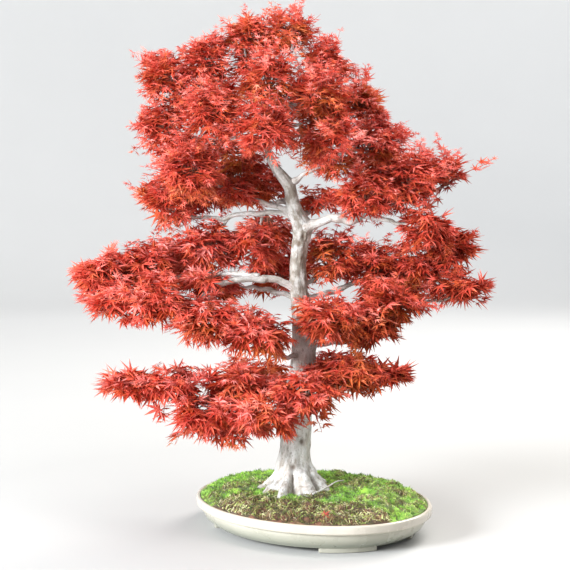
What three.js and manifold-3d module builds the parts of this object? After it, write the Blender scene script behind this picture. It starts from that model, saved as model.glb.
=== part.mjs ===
// A beni chidori Japanese maple grown as a bonsai in an oval ivory pot. Millimetres, +Z up.
// The pot's long side runs along X. The tree has a front of its own, from which its limbs were laid out:
// in the tree's frame +X is to the right of that front, +Y points away from it.
import * as THREE from 'three';
import { mergeVertices } from 'three/addons/utils/BufferGeometryUtils.js';
import Module from 'manifold-3d';

const wasm = await Module();
wasm.setup();

// Clearance between pieces that touch
const GAP = 0.3;

// Pot
const POT_HALF_LENGTH = 190;
const POT_HALF_WIDTH = 156;
const POT_HEIGHT = 44.5;
const POT_SEGMENTS = 30;
const POT_OVAL = POT_HALF_WIDTH / POT_HALF_LENGTH;
const FOOT_HEIGHT = 7;
const FOOT_DEPTH = 15;
const FOOT_STEPS = 4;
const FOOT_FROM = THREE.MathUtils.degToRad(17);
const FOOT_TO = THREE.MathUtils.degToRad(51);
const BASE_HALF_LENGTH = 165;
const LIP_OVERHANG = 8;
const LIP_BAND = 12.5;
const FLOOR_TOP = 14;
const INNER_WALL = [[6.5, 43.5], [15, 33], [22, 21], [36, FLOOR_TOP]].map(
  ([inset, height]) => [POT_HALF_LENGTH - inset, height],
);
const DRAIN_RADIUS = 12;
const DRAIN_X = 88;

// Drain screens
const SCREEN_SIZE = 34;
const SCREEN_THICKNESS = 1.2;
const SCREEN_BAR = 4;

// Soil and moss
const SOIL_HALF_LENGTH = 174.8;
const SOIL_CLEARANCE = 0.6;
const SOIL_EDGE_HEIGHT = 37.5;
const DOME_HEIGHT = 15;
const DOME_POWER = 4;
const MOUND_HEIGHT = 3;
const MOUND_RADIUS = 60;
const GROUND_SLOPE = 0.015;
const RIPPLE_HEIGHT = 1.1;
const RIPPLE_PER_MM = [0.061, 0.083];
const GROUND_RINGS = [1, 0.86, 0.66, 0.36];
const MOSS_THICKNESS = 4.5;
const MOSS_JOINT = 0.4;

// The dried stretch of moss lies before the roots, between this border and the pot's front edge,
// in the tree's frame
const DRY_BORDER = [
  [-150, -62], [-100, -46], [-60, -52], [-36, -68], [8, -78], [45, -72], [84, -82], [108, -100], [120, -134],
  [124, -190],
];
const DRY_FRONT = -260;
const DRY_STEPS = 24;

// Where the tree stands in the pot, and how far its front is turned from the pot's long side
const TREE_TURN = THREE.MathUtils.degToRad(42);
const TREE_X = -20.4;
const TREE_Y = -11.7;

// Trunk: centre x, height and radius, in the plane of the tree's front
const TRUNK_SIDES = 12;
const TRUNK_RINGS = 21;
const TRUNK = [
  [-1, 40, 27], [-2, 75, 26], [-4, 97, 24.6], [-3, 117, 23.4], [-1.5, 145, 22.4], [1, 183, 20.3],
  [6, 225, 19], [9.4, 266, 17.4], [8.7, 296, 15.6], [5.7, 325, 13.7], [2, 365, 11.8], [0.4, 395, 11.4],
  [3.5, 420, 12], [6, 438, 12.5], [3, 456, 12.3], [-3.5, 472, 11.5], [-8.5, 491, 9.2], [-12, 508, 8.1],
  [-20, 520, 7.8], [-31, 533, 6.7], [-40, 549, 5.4], [-45, 566, 4.2], [-46, 583, 3.5], [-38, 613, 2.9],
  [-29, 650, 2.1], [-25, 700, 1.4],
];

// Root flare: for each height, how far the hollows between the roots and the roots themselves stand out,
// as a share of each root's full reach from the trunk's axis
const ROOT_REACH = [58, 56, 62, 66, 60, 66, 66, 72, 68, 60];
const ROOT_FLARE = [
  [104, 22, 0.32], [92, 25, 0.43], [80, 29, 0.58], [69, 33, 0.74], [60, 37, 0.88], [50, 40, 1], [40, 34, 0.8],
];

// Limbs in the tree's frame: their line, their radius at the trunk and the spray that ends them
const LIMBS = [
  [[[-6, 0, 192], [-40, -10, 200], [-90, -25, 199], [-150, -32, 198], [-215, -34, 202]], 6, 'low_left_tip'],
  [[[6, 0, 216], [50, -20, 212], [100, -32, 213]], 5, 'low_right'],
  [[[0, -8, 168], [-12, -50, 166], [-30, -76, 170]], 5, 'low_front'],
  [[[4, -8, 198], [6, -36, 194]], 4, 'low_centre'],
  [[[-2, 8, 182], [-20, 45, 188]], 5, 'low_back_left'],
  [[[8, 8, 204], [36, 45, 202]], 5, 'low_back_right'],
  [[[0, 0, 358], [-34, -14, 372], [-78, -28, 374], [-112, -38, 368], [-141, -45, 348],
    [-177, -50, 335], [-206, -55, 320], [-240, -58, 322]], 5.5, 'mid_left_low_tip'],
  [[[-56, -20, 376], [-100, -4, 380], [-165, 4, 376], [-225, -5, 368], [-260, -20, 368]], 4, 'mid_left_tip'],
  [[[0, 8, 342], [-40, 50, 350], [-105, 82, 354], [-140, 90, 358]], 5, 'mid_back_left'],
  [[[6, -6, 262], [-16, -40, 262]], 4, 'mid_front'],
  [[[8, -6, 288], [22, -34, 294]], 4, 'mid_right_low_inner'],
  [[[6, 0, 338], [49, 20, 350], [84, 30, 362], [134, 32, 374], [180, 24, 372], [210, 14, 384]], 4.5,
    'mid_right_tip'],
  [[[2, 2, 360], [30, 14, 372]], 3.6, 'mid_right_inner'],
  [[[9, 0, 300], [63, -10, 309], [114, -15, 322], [160, -15, 335], [212, -15, 342]], 4.5,
    'mid_right_low_tip'],
  [[[6, 8, 316], [60, 60, 322], [112, 88, 328]], 5, 'mid_back_right'],
  [[[9, 0, 268], [56, -15, 278], [88, -24, 281]], 4, 'mid_right_cut'],
  [[[4, 0, 446], [28, -5, 453], [53, -12, 463], [77, -10, 455], [102, -5, 468], [122, 0, 479],
    [151, 5, 484], [196, 8, 500]], 6.5, 'shelf_tip'],
  [[[100, -6, 466], [135, -14, 456], [158, -20, 452]], 3.6, 'shelf_low'],
  [[[2, 6, 462], [50, 50, 480], [112, 74, 490]], 4.5, 'shelf_back'],
  [[[-4, 0, 466], [-39, 8, 470], [-81, 14, 466], [-129, 14, 460], [-172, 12, 468]], 5, 'upper_left_tip'],
  [[[-6, 0, 470], [-47, -8, 483], [-84, -15, 499], [-116, -48, 512]], 5, 'upper_left_front'],
  [[[-8, 4, 486], [-60, 45, 482], [-105, 70, 482]], 4, 'upper_left_back'],
  [[[-8, 0, 514], [24, -5, 532], [44, -8, 546], [80, -4, 562]], 4, 'crown_right_low'],
  [[[-43, 0, 560], [-90, 4, 576], [-150, 5, 580]], 3.4, 'crown_left'],
  [[[-42, 0, 598], [-85, -4, 626], [-150, -4, 644]], 3, 'crown_left_top'],
  [[[-45, 0, 580], [-5, 3, 598], [60, 5, 610]], 3.4, 'crown_right'],
  [[[-35, 0, 625], [2, -2, 650], [26, 2, 670]], 2.8, 'crown_upper_right'],
  [[[-45, -2, 572], [-50, -45, 574], [-48, -76, 576]], 3.2, 'crown_front'],
  [[[-38, -1, 612], [-32, -28, 628], [-36, -46, 638]], 2.8, 'crown_front_high'],
  [[[-33, -1, 634], [-8, -24, 628], [12, -42, 624]], 2.8, 'crown_front_right'],
  [[[-40, 1, 604], [-72, 40, 614], [-98, 62, 618]], 3, 'crown_back_left'],
  [[[-34, 1, 630], [-8, 42, 622], [6, 62, 620]], 3, 'crown_back_right'],
];
const LIMB_SIDES = 5;
const LIMB_STEP = 44;
const TWIG_SIDES = 3;

// Foliage sprays in the tree's frame, tier by tier: centre x, y, z, half width and half height
const SPRAYS = {
  low_left_tip: [-255, -35, 222, 52, 24],
  low_left: [-188, -35, 224, 50, 28],
  low_left_front: [-138, -75, 190, 54, 32],
  low_mid_left: [-80, -20, 222, 52, 30],
  low_front: [-52, -108, 192, 52, 28],
  low_centre: [12, -82, 222, 48, 30],
  low_mid_right: [70, -48, 240, 48, 30],
  low_right: [136, -36, 240, 48, 24],
  low_back_left: [-62, 84, 216, 56, 30],
  low_back_right: [68, 86, 230, 56, 30],
  mid_left_tip: [-290, -28, 390, 50, 32],
  mid_left_low_tip: [-272, -72, 342, 50, 28],
  mid_left: [-222, -4, 402, 52, 32],
  mid_left_low: [-196, -82, 352, 50, 28],
  mid_left_inner: [-140, 22, 422, 54, 34],
  mid_trunk_left: [-64, 26, 424, 52, 32],
  mid_left_hanging: [-122, -90, 322, 52, 30],
  mid_front: [-56, -78, 306, 52, 32],
  mid_back_left: [-176, 98, 394, 56, 32],
  mid_back: [-24, 98, 376, 56, 32],
  mid_right_tip: [240, 8, 416, 48, 28],
  mid_right_low_tip: [246, -22, 364, 48, 28],
  mid_right_outer: [182, 26, 398, 50, 32],
  mid_right: [116, 38, 398, 52, 32],
  mid_right_inner: [54, 40, 404, 46, 30],
  mid_right_low: [126, -48, 344, 52, 28],
  mid_right_low_inner: [50, -64, 324, 48, 28],
  mid_right_cut: [122, -34, 302, 46, 22],
  mid_back_right: [150, 100, 356, 56, 32],
  shelf_tip: [228, 6, 524, 50, 36],
  shelf_outer: [168, -22, 526, 50, 38],
  shelf_inner: [104, -14, 508, 50, 34],
  shelf_low: [192, -28, 458, 42, 20],
  shelf_back: [150, 80, 518, 56, 38],
  upper_left_tip: [-200, 4, 494, 50, 38],
  upper_left: [-84, 24, 530, 54, 40],
  upper_left_front: [-158, -80, 540, 52, 38],
  upper_left_back: [-146, 88, 508, 56, 38],
  crown_left_top: [-192, 2, 672, 52, 38],
  crown_left: [-196, 6, 606, 52, 42],
  crown_left_front: [-124, -82, 618, 52, 42],
  crown_upper_left: [-134, -14, 700, 48, 36],
  crown_top_left: [-74, 0, 738, 46, 34],
  crown_top_right: [-12, 0, 740, 46, 34],
  crown_upper_right: [46, 4, 700, 46, 32],
  crown_front_high: [-44, -68, 668, 52, 40],
  crown_front_right: [32, -64, 642, 52, 40],
  crown_right: [100, 6, 638, 50, 42],
  crown_front: [-46, -108, 602, 52, 38],
  crown_right_front: [50, -72, 580, 50, 36],
  crown_right_low: [120, 0, 576, 46, 34],
  crown_back_left: [-126, 84, 646, 58, 44],
  crown_back_right: [22, 88, 646, 58, 44],
};
const CORE_WIDTH = 0.5;
const CORE_HEIGHT = 0.4;
const CORE_STEP = 3;
const CORE_SHRINK = 0.97;

// Leaves stand all round a core, level or rising by turns with hanging; angles in radians
const LEAVES_PER_SPRAY = 5;
const LEAF_TRIES = 8;
const LEAF_WANDER = 0.6;
const LEAF_ROLL = 0.9;
const RISING_PITCH = [0.05, 0.45];
const HANGING_PITCH = [-0.8, -0.2];

// Twigs: a spray is met from below, and its stem stands on the wood's end just short of the core
const TWIG_RADIUS = 1.9;
const TWIG_LEAST = 13;
const TWIG_FORWARD = 1.7;
const TWIG_SAG = 0.06;
const STEM_RADIUS = 1.5;
const STEM_LENGTH = 7;
const STEM_SINK = 0.85;
const ARRIVAL_RISE = 0.35;
const SEAT_RUN = 4;

// Leaf: lobes as angle from the midrib in degrees and length as a share of the middle lobe
const LOBES = [[-104, 0.62], [-50, 0.9], [0, 1], [50, 0.9], [104, 0.62]];
const LEAF_SINUS = 0.3;
const LEAF_NECK = 0.12;
const LEAF_THICKNESS = 1.8;
const LEAF_DROOP = 0.16;
const LEAF_LOW = 29;
const LEAF_TOP = 25;
const CROWN_LOW = 200;
const CROWN_TOP = 730;
const PETIOLE_SHARE = 0.55;

// Finishes
const GLAZE = new THREE.MeshStandardMaterial({ color: 0xe6dfcb, roughness: 0.3, metalness: 0 });
const BARK = new THREE.MeshStandardMaterial({ color: 0xd5cdbf, roughness: 0.85, metalness: 0 });
const SOIL = new THREE.MeshStandardMaterial({ color: 0x4a382a, roughness: 1, metalness: 0 });
const GREEN_MOSS = new THREE.MeshStandardMaterial({ color: 0x5f9e24, roughness: 1, metalness: 0 });
const DRY_MOSS = new THREE.MeshStandardMaterial({ color: 0x70583a, roughness: 1, metalness: 0 });
const LEAF = new THREE.MeshStandardMaterial({ color: 0xc63a2c, roughness: 0.6, metalness: 0 });
const SCREEN = new THREE.MeshStandardMaterial({ color: 0x23282a, roughness: 0.7, metalness: 0 });

const UP = new THREE.Vector3(0, 0, 1);
const treePlace = new THREE.Matrix4().makeRotationZ(TREE_TURN).setPosition(TREE_X, TREE_Y, 0);

// Repeatable random numbers from 0 to 1
function seeded(seed) {
  let state = seed;
  return () => {
    state = (state * 1664525 + 1013904223) % 4294967296;
    return state / 4294967296;
  };
}

// Vertices merged, and triangles that collapsed at a pole dropped
function weld(geometry) {
  geometry.deleteAttribute('normal');
  geometry.deleteAttribute('uv');
  const merged = mergeVertices(geometry, 1e-3);
  const corners = merged.index.array;
  const kept = [];
  for (let i = 0; i < corners.length; i += 3) {
    const [a, b, c] = corners.slice(i, i + 3);
    if (a !== b && b !== c && c !== a) kept.push(a, b, c);
  }
  merged.setIndex(kept);
  return merged;
}

// Welded three.js geometry to a solid that can be joined and cut, and back
function solidOf(geometry) {
  return new wasm.Manifold(new wasm.Mesh({
    numProp: 3,
    vertProperties: geometry.attributes.position.array,
    triVerts: Uint32Array.from(geometry.index.array),
  }));
}

function geometryOf(solid) {
  const mesh = solid.getMesh();
  const geometry = new THREE.BufferGeometry();
  geometry.setAttribute('position', new THREE.BufferAttribute(mesh.vertProperties, mesh.numProp));
  geometry.setIndex(new THREE.BufferAttribute(mesh.triVerts, 1));
  return geometry;
}

function meshOf(name, solid, material) {
  const mesh = new THREE.Mesh(geometryOf(solid), material);
  mesh.name = name;
  return mesh;
}

// An oval turned solid: the lathe's profile is drawn as [half length, height] and squeezed to the pot's oval
function ovalLathe(profile) {
  const points = profile.map(([radius, height]) => new THREE.Vector2(radius, height));
  const geometry = weld(new THREE.LatheGeometry(points, POT_SEGMENTS));
  geometry.rotateX(Math.PI / 2);
  geometry.scale(1, POT_OVAL, 1);
  return geometry;
}

// Pot
function foot(middleAngle) {
  const half = (FOOT_TO - FOOT_FROM) / 2;
  const arc = (radius) => Array.from({ length: FOOT_STEPS + 1 }, (_, i) => {
    const angle = middleAngle - half + (2 * half * i) / FOOT_STEPS;
    return new THREE.Vector2(radius * Math.cos(angle), radius * Math.sin(angle) * POT_OVAL);
  });
  const inner = arc(BASE_HALF_LENGTH - FOOT_DEPTH);
  const shape = new THREE.Shape([...arc(BASE_HALF_LENGTH - 2), ...inner.reverse()]);
  return weld(new THREE.ExtrudeGeometry(shape, { depth: FOOT_HEIGHT + 2, bevelEnabled: false, steps: 1 }));
}

function drainHole(x) {
  const hole = new THREE.CylinderGeometry(DRAIN_RADIUS, DRAIN_RADIUS, 2 * FLOOR_TOP, 12);
  hole.rotateX(Math.PI / 2);
  hole.translate(x, 0, FLOOR_TOP);
  return solidOf(weld(hole));
}

function pot() {
  const bodyTop = POT_HEIGHT - LIP_BAND - 1.5;
  const body = POT_HALF_LENGTH - LIP_OVERHANG;
  let solid = solidOf(ovalLathe([
    [0, FOOT_HEIGHT], [BASE_HALF_LENGTH - 2, FOOT_HEIGHT], [body - 9, FOOT_HEIGHT + 5],
    [body - 2.5, FOOT_HEIGHT + 14], [body, bodyTop], [POT_HALF_LENGTH - 1.5, bodyTop + 1.5],
    [POT_HALF_LENGTH, bodyTop + 6], [POT_HALF_LENGTH - 1.2, POT_HEIGHT - 1],
    [POT_HALF_LENGTH - 3.5, POT_HEIGHT], ...INNER_WALL, [0, FLOOR_TOP],
  ]));
  const middle = (FOOT_FROM + FOOT_TO) / 2;
  for (const angle of [middle, Math.PI - middle, Math.PI + middle, -middle]) {
    solid = solid.add(solidOf(foot(angle)));
  }
  return solid.subtract(drainHole(DRAIN_X)).subtract(drainHole(-DRAIN_X));
}

// Drain screens: a square grille over each drain hole
function plate(size, thickness, x, y, z) {
  const block = new THREE.BoxGeometry(size, size, thickness);
  block.translate(x, y, z);
  return solidOf(weld(block));
}

function screen(x) {
  const middle = FLOOR_TOP + GAP + SCREEN_THICKNESS / 2;
  const pane = (SCREEN_SIZE - 3 * SCREEN_BAR) / 2;
  const shift = (pane + SCREEN_BAR) / 2;
  let solid = plate(SCREEN_SIZE, SCREEN_THICKNESS, x, 0, middle);
  for (const [sx, sy] of [[-1, -1], [-1, 1], [1, -1], [1, 1]]) {
    solid = solid.subtract(plate(pane, 2 * SCREEN_THICKNESS, x + sx * shift, sy * shift, middle));
  }
  return solid;
}

function screenPocket(x) {
  return plate(SCREEN_SIZE + 2 * GAP, 2 * SCREEN_THICKNESS, x, 0, FLOOR_TOP + 2 * GAP);
}

// Ground: how high the soil stands at a place in the pot. It is domed, a little more so about the trunk,
// and falls towards the tree's front
function soilHeight(x, y) {
  const share = Math.hypot(x, y / POT_OVAL) / SOIL_HALF_LENGTH;
  const dome = DOME_HEIGHT * (1 - share ** DOME_POWER);
  const away = Math.hypot(x - TREE_X, y - TREE_Y) / MOUND_RADIUS;
  const behind = (y - TREE_Y) * Math.cos(TREE_TURN) - (x - TREE_X) * Math.sin(TREE_TURN);
  const ripple = RIPPLE_HEIGHT * Math.sin(RIPPLE_PER_MM[0] * x + 0.9) * Math.cos(RIPPLE_PER_MM[1] * y);
  const mound = MOUND_HEIGHT * Math.exp(-away * away);
  return SOIL_EDGE_HEIGHT + dome + mound + GROUND_SLOPE * behind + ripple;
}

// Points marked with heights from GROUND_MARK up are laid on the soil, as high above it as above the mark
const GROUND_MARK = 1000;

function layOnGround(geometry) {
  const place = geometry.attributes.position;
  for (let i = 0; i < place.count; i += 1) {
    if (place.getZ(i) > GROUND_MARK / 2) {
      place.setZ(i, place.getZ(i) - GROUND_MARK + soilHeight(place.getX(i), place.getY(i)));
    }
  }
  return geometry;
}

function soil() {
  const side = INNER_WALL.slice(1).reverse().map(([radius, height]) => [radius - SOIL_CLEARANCE, height]);
  side[0][1] += GAP;
  const top = GROUND_RINGS.map((share) => [SOIL_HALF_LENGTH * share, GROUND_MARK]);
  const ground = layOnGround(ovalLathe([[0, FLOOR_TOP + GAP], ...side, ...top, [0, GROUND_MARK]]));
  return solidOf(ground).subtract(screenPocket(DRAIN_X)).subtract(screenPocket(-DRAIN_X));
}

// The carpet is the soil's own surface thickened upward, so its underside follows the soil face for face
function mossCarpet() {
  const rings = GROUND_RINGS.map((share) => [SOIL_HALF_LENGTH * share, GROUND_MARK + GAP]);
  const sheet = layOnGround(ovalLathe([...rings, [0, GROUND_MARK + GAP]]));
  const under = sheet.attributes.position.array;
  const count = sheet.attributes.position.count;
  const over = under.map((value, i) => (i % 3 === 2 ? value + MOSS_THICKNESS : value));
  const corners = sheet.index.array;
  const edges = new Set();
  const faces = [];
  for (let i = 0; i < corners.length; i += 3) {
    const [a, b, c] = corners.slice(i, i + 3);
    faces.push(a, c, b, a + count, b + count, c + count);
    for (const [from, to] of [[a, b], [b, c], [c, a]]) edges.add(`${from} ${to}`);
  }
  for (const edge of edges) {
    const [from, to] = edge.split(' ').map(Number);
    if (!edges.has(`${to} ${from}`)) faces.push(from, to, to + count, from, to + count, from + count);
  }
  const carpet = new THREE.BufferGeometry();
  carpet.setAttribute('position', new THREE.Float32BufferAttribute([...under, ...over], 3));
  carpet.setIndex(faces);
  return solidOf(carpet);
}

function dryArea(shift) {
  const border = DRY_BORDER.map(([x, y]) => new THREE.Vector2(x, y + shift));
  const line = new THREE.SplineCurve(border).getPoints(DRY_STEPS);
  const front = [border.at(-1), border[0]].map(({ x }) => new THREE.Vector2(x, DRY_FRONT));
  const deep = { depth: 2 * POT_HEIGHT, bevelEnabled: false, steps: 1 };
  const area = weld(new THREE.ExtrudeGeometry(new THREE.Shape([...line, ...front]), deep));
  area.applyMatrix4(treePlace);
  return solidOf(area);
}

// A closed limb: a lathed rod, one unit of height for each ring, bent along a smooth curve and tapered
function limb(points, radiusAt, sides, rings) {
  const curve = new THREE.CatmullRomCurve3(points, false, 'centripetal');
  const frames = curve.computeFrenetFrames(rings, false);
  const profile = [new THREE.Vector2(0, 0)];
  for (let ring = 0; ring <= rings; ring += 1) profile.push(new THREE.Vector2(1, ring));
  profile.push(new THREE.Vector2(0, rings));
  const rod = weld(new THREE.LatheGeometry(profile, sides));
  const place = rod.attributes.position;
  for (let i = 0; i < place.count; i += 1) {
    const ring = Math.round(place.getY(i));
    const middle = curve.getPointAt(ring / rings);
    const radius = radiusAt(ring / rings, middle);
    middle.addScaledVector(frames.binormals[ring], place.getX(i) * radius);
    middle.addScaledVector(frames.normals[ring], place.getZ(i) * radius);
    place.setXYZ(i, middle.x, middle.y, middle.z);
  }
  return rod;
}

const taper = (from, to) => (share) => from + (to - from) * share;
const vectors = (list) => list.map((point) => new THREE.Vector3(...point));

// Trunk
function trunkStem(grow) {
  const points = TRUNK.map(([x, z]) => new THREE.Vector3(x, 0, z));
  const radiusAt = (share, middle) => {
    const found = TRUNK.findIndex(([, z]) => z >= middle.z);
    const above = found > 0 ? found : TRUNK.length - 1;
    const [, z0, r0] = TRUNK[above - 1];
    const [, z1, r1] = TRUNK[above];
    return r0 + (r1 - r0) * THREE.MathUtils.clamp((middle.z - z0) / (z1 - z0), 0, 1) + grow;
  };
  return limb(points, radiusAt, TRUNK_SIDES, TRUNK_RINGS);
}

// Every second corner of the lathed flare is a root, and the corners between are the hollows
function rootFlare(grow) {
  const rings = [...ROOT_FLARE].reverse();
  const marks = rings.map((ring, i) => new THREE.Vector2(1, i));
  const profile = [new THREE.Vector2(0, 0), ...marks, new THREE.Vector2(0, rings.length - 1)];
  const flare = weld(new THREE.LatheGeometry(profile, 2 * ROOT_REACH.length));
  const place = flare.attributes.position;
  for (let i = 0; i < place.count; i += 1) {
    const [height, hollow, share] = rings[Math.round(place.getY(i))];
    const turn = Math.atan2(place.getX(i), place.getZ(i));
    const corner = Math.round((turn / Math.PI) * ROOT_REACH.length + 2 * ROOT_REACH.length);
    const root = ROOT_REACH[(corner / 2) % ROOT_REACH.length];
    const radius = (corner % 2 === 0 ? root * share : hollow) + grow;
    const out = Math.hypot(place.getX(i), place.getZ(i)) * radius;
    place.setXYZ(i, out * Math.cos(turn), out * Math.sin(turn), height);
  }
  return flare;
}

function trunkBase(grow) {
  return [trunkStem(grow), rootFlare(grow)];
}

const joined = (geometries) => geometries.map(solidOf).reduce((all, one) => all.add(one));

// Leaf size falls from the lowest limbs to the top of the tree
function leafSize(height) {
  const share = THREE.MathUtils.clamp((height - CROWN_LOW) / (CROWN_TOP - CROWN_LOW), 0, 1);
  return LEAF_LOW + (LEAF_TOP - LEAF_LOW) * share;
}

// Half sizes of a spray's core, which its leaves stand out of
function coreHalf(name) {
  const [, , , halfWidth, halfHeight] = SPRAYS[name];
  return new THREE.Vector3(CORE_WIDTH * halfWidth, CORE_WIDTH * halfWidth, CORE_HEIGHT * halfHeight);
}

// How a spray is met from a place on a limb: the direction of arrival, the seat just short of the core,
// and a point before it that squares the wood's end to the arrival
function arrivalFrom(start, spray) {
  const centre = new THREE.Vector3(...SPRAYS[spray]);
  const arrival = centre.clone().sub(start).normalize().addScaledVector(UP, ARRIVAL_RISE).normalize();
  const seat = centre.addScaledVector(arrival, -(coreHalf(spray).z + STEM_LENGTH));
  const before = seat.clone().addScaledVector(arrival, -SEAT_RUN);
  return { arrival, seat, before };
}

// Every limb's line, from inside the trunk or an older limb to the seat of the spray that ends it
const limbLines = LIMBS.map(([points, , spray]) => {
  const line = vectors(points);
  const { arrival, seat, before } = arrivalFrom(line.at(-1), spray);
  line.push(before, seat);
  const curve = new THREE.CatmullRomCurve3(line, false, 'centripetal');
  const rings = Math.max(2, Math.round(curve.getLength() / LIMB_STEP));
  return { spray, arrival, seat, curve, rings };
});

function mainLimb({ curve, rings }, i) {
  return limb(curve.points, taper(LIMBS[i][1], STEM_RADIUS), LIMB_SIDES, rings);
}

// Places where a twig can leave a limb: at each ring, and halfway along the straight between two rings
function stations({ curve, rings }) {
  const places = [];
  for (let ring = 1; ring < rings; ring += 1) {
    const share = ring / rings;
    const here = curve.getPointAt(share);
    places.push({ start: here, along: curve.getTangentAt(share) });
    const halfway = here.clone().lerp(curve.getPointAt((ring + 1) / rings), 0.5);
    places.push({ start: halfway, along: curve.getTangentAt((ring + 0.5) / rings) });
  }
  return places;
}

// Any other spray is carried by a bare twig, from a limb that is near and runs the same way
function twigLine(spray) {
  const centre = new THREE.Vector3(...SPRAYS[spray]);
  const shortest = coreHalf(spray).z + TWIG_LEAST;
  let best = null;
  for (const { start, along } of limbLines.flatMap(stations)) {
    const way = centre.clone().sub(start);
    const distance = way.length();
    const cost = distance * (TWIG_FORWARD - way.dot(along) / distance);
    if (distance > shortest && (best === null || cost < best.cost)) best = { start, distance, cost };
  }
  const { arrival, seat, before } = arrivalFrom(best.start, spray);
  const bend = best.start.clone().lerp(seat, 0.5).addScaledVector(UP, -TWIG_SAG * best.distance);
  return { spray, arrival, seat, points: [best.start, bend, before, seat] };
}

const carried = limbLines.map(({ spray }) => spray);
const twigLines = Object.keys(SPRAYS).filter((spray) => !carried.includes(spray)).map(twigLine);

function twig({ points }) {
  return limb(points, taper(TWIG_RADIUS, STEM_RADIUS), TWIG_SIDES, 2);
}

function trunk() {
  return joined([...trunkBase(0), ...limbLines.map(mainLimb), ...twigLines.map(twig)]);
}

// Leaf: a five-lobed star of triangles that meet at a raised middle, thickest there, with drooping tips.
// It is drawn along +X from the foot of its petiole, with its face up. Spare room round it, if any,
// widens and thickens it all over; without that, the two faces meet in a sharp edge.
function leafGeometry(size, spare, petiole = PETIOLE_SHARE * size) {
  const reach = size + spare;
  const corner = (degrees, length) => {
    const angle = THREE.MathUtils.degToRad(degrees);
    return [length * Math.cos(angle), length * Math.sin(angle), -LEAF_DROOP * length * length / size];
  };
  const outline = [[-petiole - spare, 0, 0], corner(-150, LEAF_NECK * reach)];
  LOBES.forEach(([angle, length], i) => {
    outline.push(corner(angle, length * reach));
    const next = LOBES[i + 1];
    if (next) outline.push(corner((angle + next[0]) / 2, LEAF_SINUS * reach));
  });
  outline.push(corner(150, LEAF_NECK * reach));
  const count = outline.length;
  const rim = [spare, -spare].flatMap((shift) => outline.map(([x, y, z]) => [x, y, z + shift]));
  const half = LEAF_THICKNESS / 2 + spare;
  const faces = [];
  outline.forEach((_, i) => {
    const next = (i + 1) % count;
    faces.push(i, next, 2 * count, next + count, i + count, 2 * count + 1);
    faces.push(i, i + count, next, next, i + count, next + count);
  });
  const geometry = new THREE.BufferGeometry();
  const corners = [...rim, [0, 0, half], [0, 0, -half]];
  geometry.setAttribute('position', new THREE.Float32BufferAttribute(corners.flat(), 3));
  geometry.setIndex(faces);
  return weld(geometry).translate(PETIOLE_SHARE * size, 0, 0);
}

// The blade alone, to keep the leaves of one spray off each other
const bladeRoom = (size) => leafGeometry(size, GAP, 0.2 * size);

// A leaf's foot lies in the core, off its middle by the turn and by a height of its own
function leafPlace(core, centre, turn, pitch, height, tilt) {
  const level = new THREE.Vector3(Math.cos(turn), Math.sin(turn), 0);
  const foot = centre.clone().addScaledVector(level, 0.5 * core.x * (1 - 0.6 * height));
  foot.addScaledVector(UP, 0.6 * core.z * height);
  const midrib = level.multiplyScalar(Math.cos(pitch)).addScaledVector(UP, Math.sin(pitch));
  const side = new THREE.Vector3().crossVectors(UP, midrib).normalize();
  side.applyAxisAngle(midrib, tilt);
  const face = new THREE.Vector3().crossVectors(midrib, side);
  return new THREE.Matrix4().makeBasis(midrib, side, face).setPosition(foot);
}

// A small knot of eight faces that the leaves stand out of
function coreGeometry(core, centre, turn) {
  const geometry = weld(new THREE.OctahedronGeometry(1, 0));
  geometry.rotateZ(turn);
  geometry.scale(core.x, core.y, core.z);
  return geometry.translate(centre.x, centre.y, centre.z);
}

// Solids already in place, each with its box, so that a new one can be kept clear of them
const placed = [];

function isClear(geometry) {
  geometry.computeBoundingBox();
  const near = placed.filter(({ box }) => box.intersectsBox(geometry.boundingBox));
  if (near.length === 0) return true;
  const solid = solidOf(geometry);
  return near.every((other) => other.solid.intersect(solid).isEmpty());
}

function keep(solid) {
  const geometry = geometryOf(solid);
  geometry.computeBoundingBox();
  placed.push({ solid, box: geometry.boundingBox });
}

function sprayOn({ spray, seat, arrival }, random) {
  const centre = new THREE.Vector3(...SPRAYS[spray]);
  const core = coreHalf(spray);
  const start = 2 * Math.PI * random();
  while (!isClear(coreGeometry(core.clone().addScalar(2 * GAP), centre, start))) {
    centre.addScaledVector(arrival, CORE_STEP);
    core.multiplyScalar(CORE_SHRINK);
  }
  const stemFoot = seat.clone().addScaledVector(arrival, GAP);
  const stemTop = stemFoot.clone().lerp(centre, STEM_SINK);
  let solid = joined([
    coreGeometry(core, centre, start),
    limb([stemFoot, stemTop], taper(STEM_RADIUS, STEM_RADIUS), TWIG_SIDES, 1),
  ]);
  const size = leafSize(centre.z);
  const ownBlades = [];
  for (let i = 0; i < LEAVES_PER_SPRAY; i += 1) {
    const rising = i % 2 === 1;
    const [lowest, highest] = rising ? RISING_PITCH : HANGING_PITCH;
    const even = (2 * Math.PI * i) / LEAVES_PER_SPRAY;
    for (let attempt = 0; attempt < LEAF_TRIES; attempt += 1) {
      const turn = start + even + LEAF_WANDER * (random() - 0.5);
      const pitch = lowest + (highest - lowest) * random();
      const place = leafPlace(core, centre, turn, pitch, rising ? 0.5 : 0, LEAF_ROLL * (random() - 0.5));
      const blade = solidOf(bladeRoom(size).applyMatrix4(place));
      const crossed = ownBlades.some((own) => !own.intersect(blade).isEmpty());
      if (!crossed && isClear(leafGeometry(size, 2 * GAP).applyMatrix4(place))) {
        solid = solid.add(solidOf(leafGeometry(size, 0).applyMatrix4(place)));
        ownBlades.push(blade);
        break;
      }
    }
  }
  keep(solid);
  return solid;
}

// The bonsai
const bonsai = new THREE.Group();
bonsai.add(meshOf('pot', pot(), GLAZE));
bonsai.add(meshOf('drain_screen_left', screen(-DRAIN_X), SCREEN));
bonsai.add(meshOf('drain_screen_right', screen(DRAIN_X), SCREEN));

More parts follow.
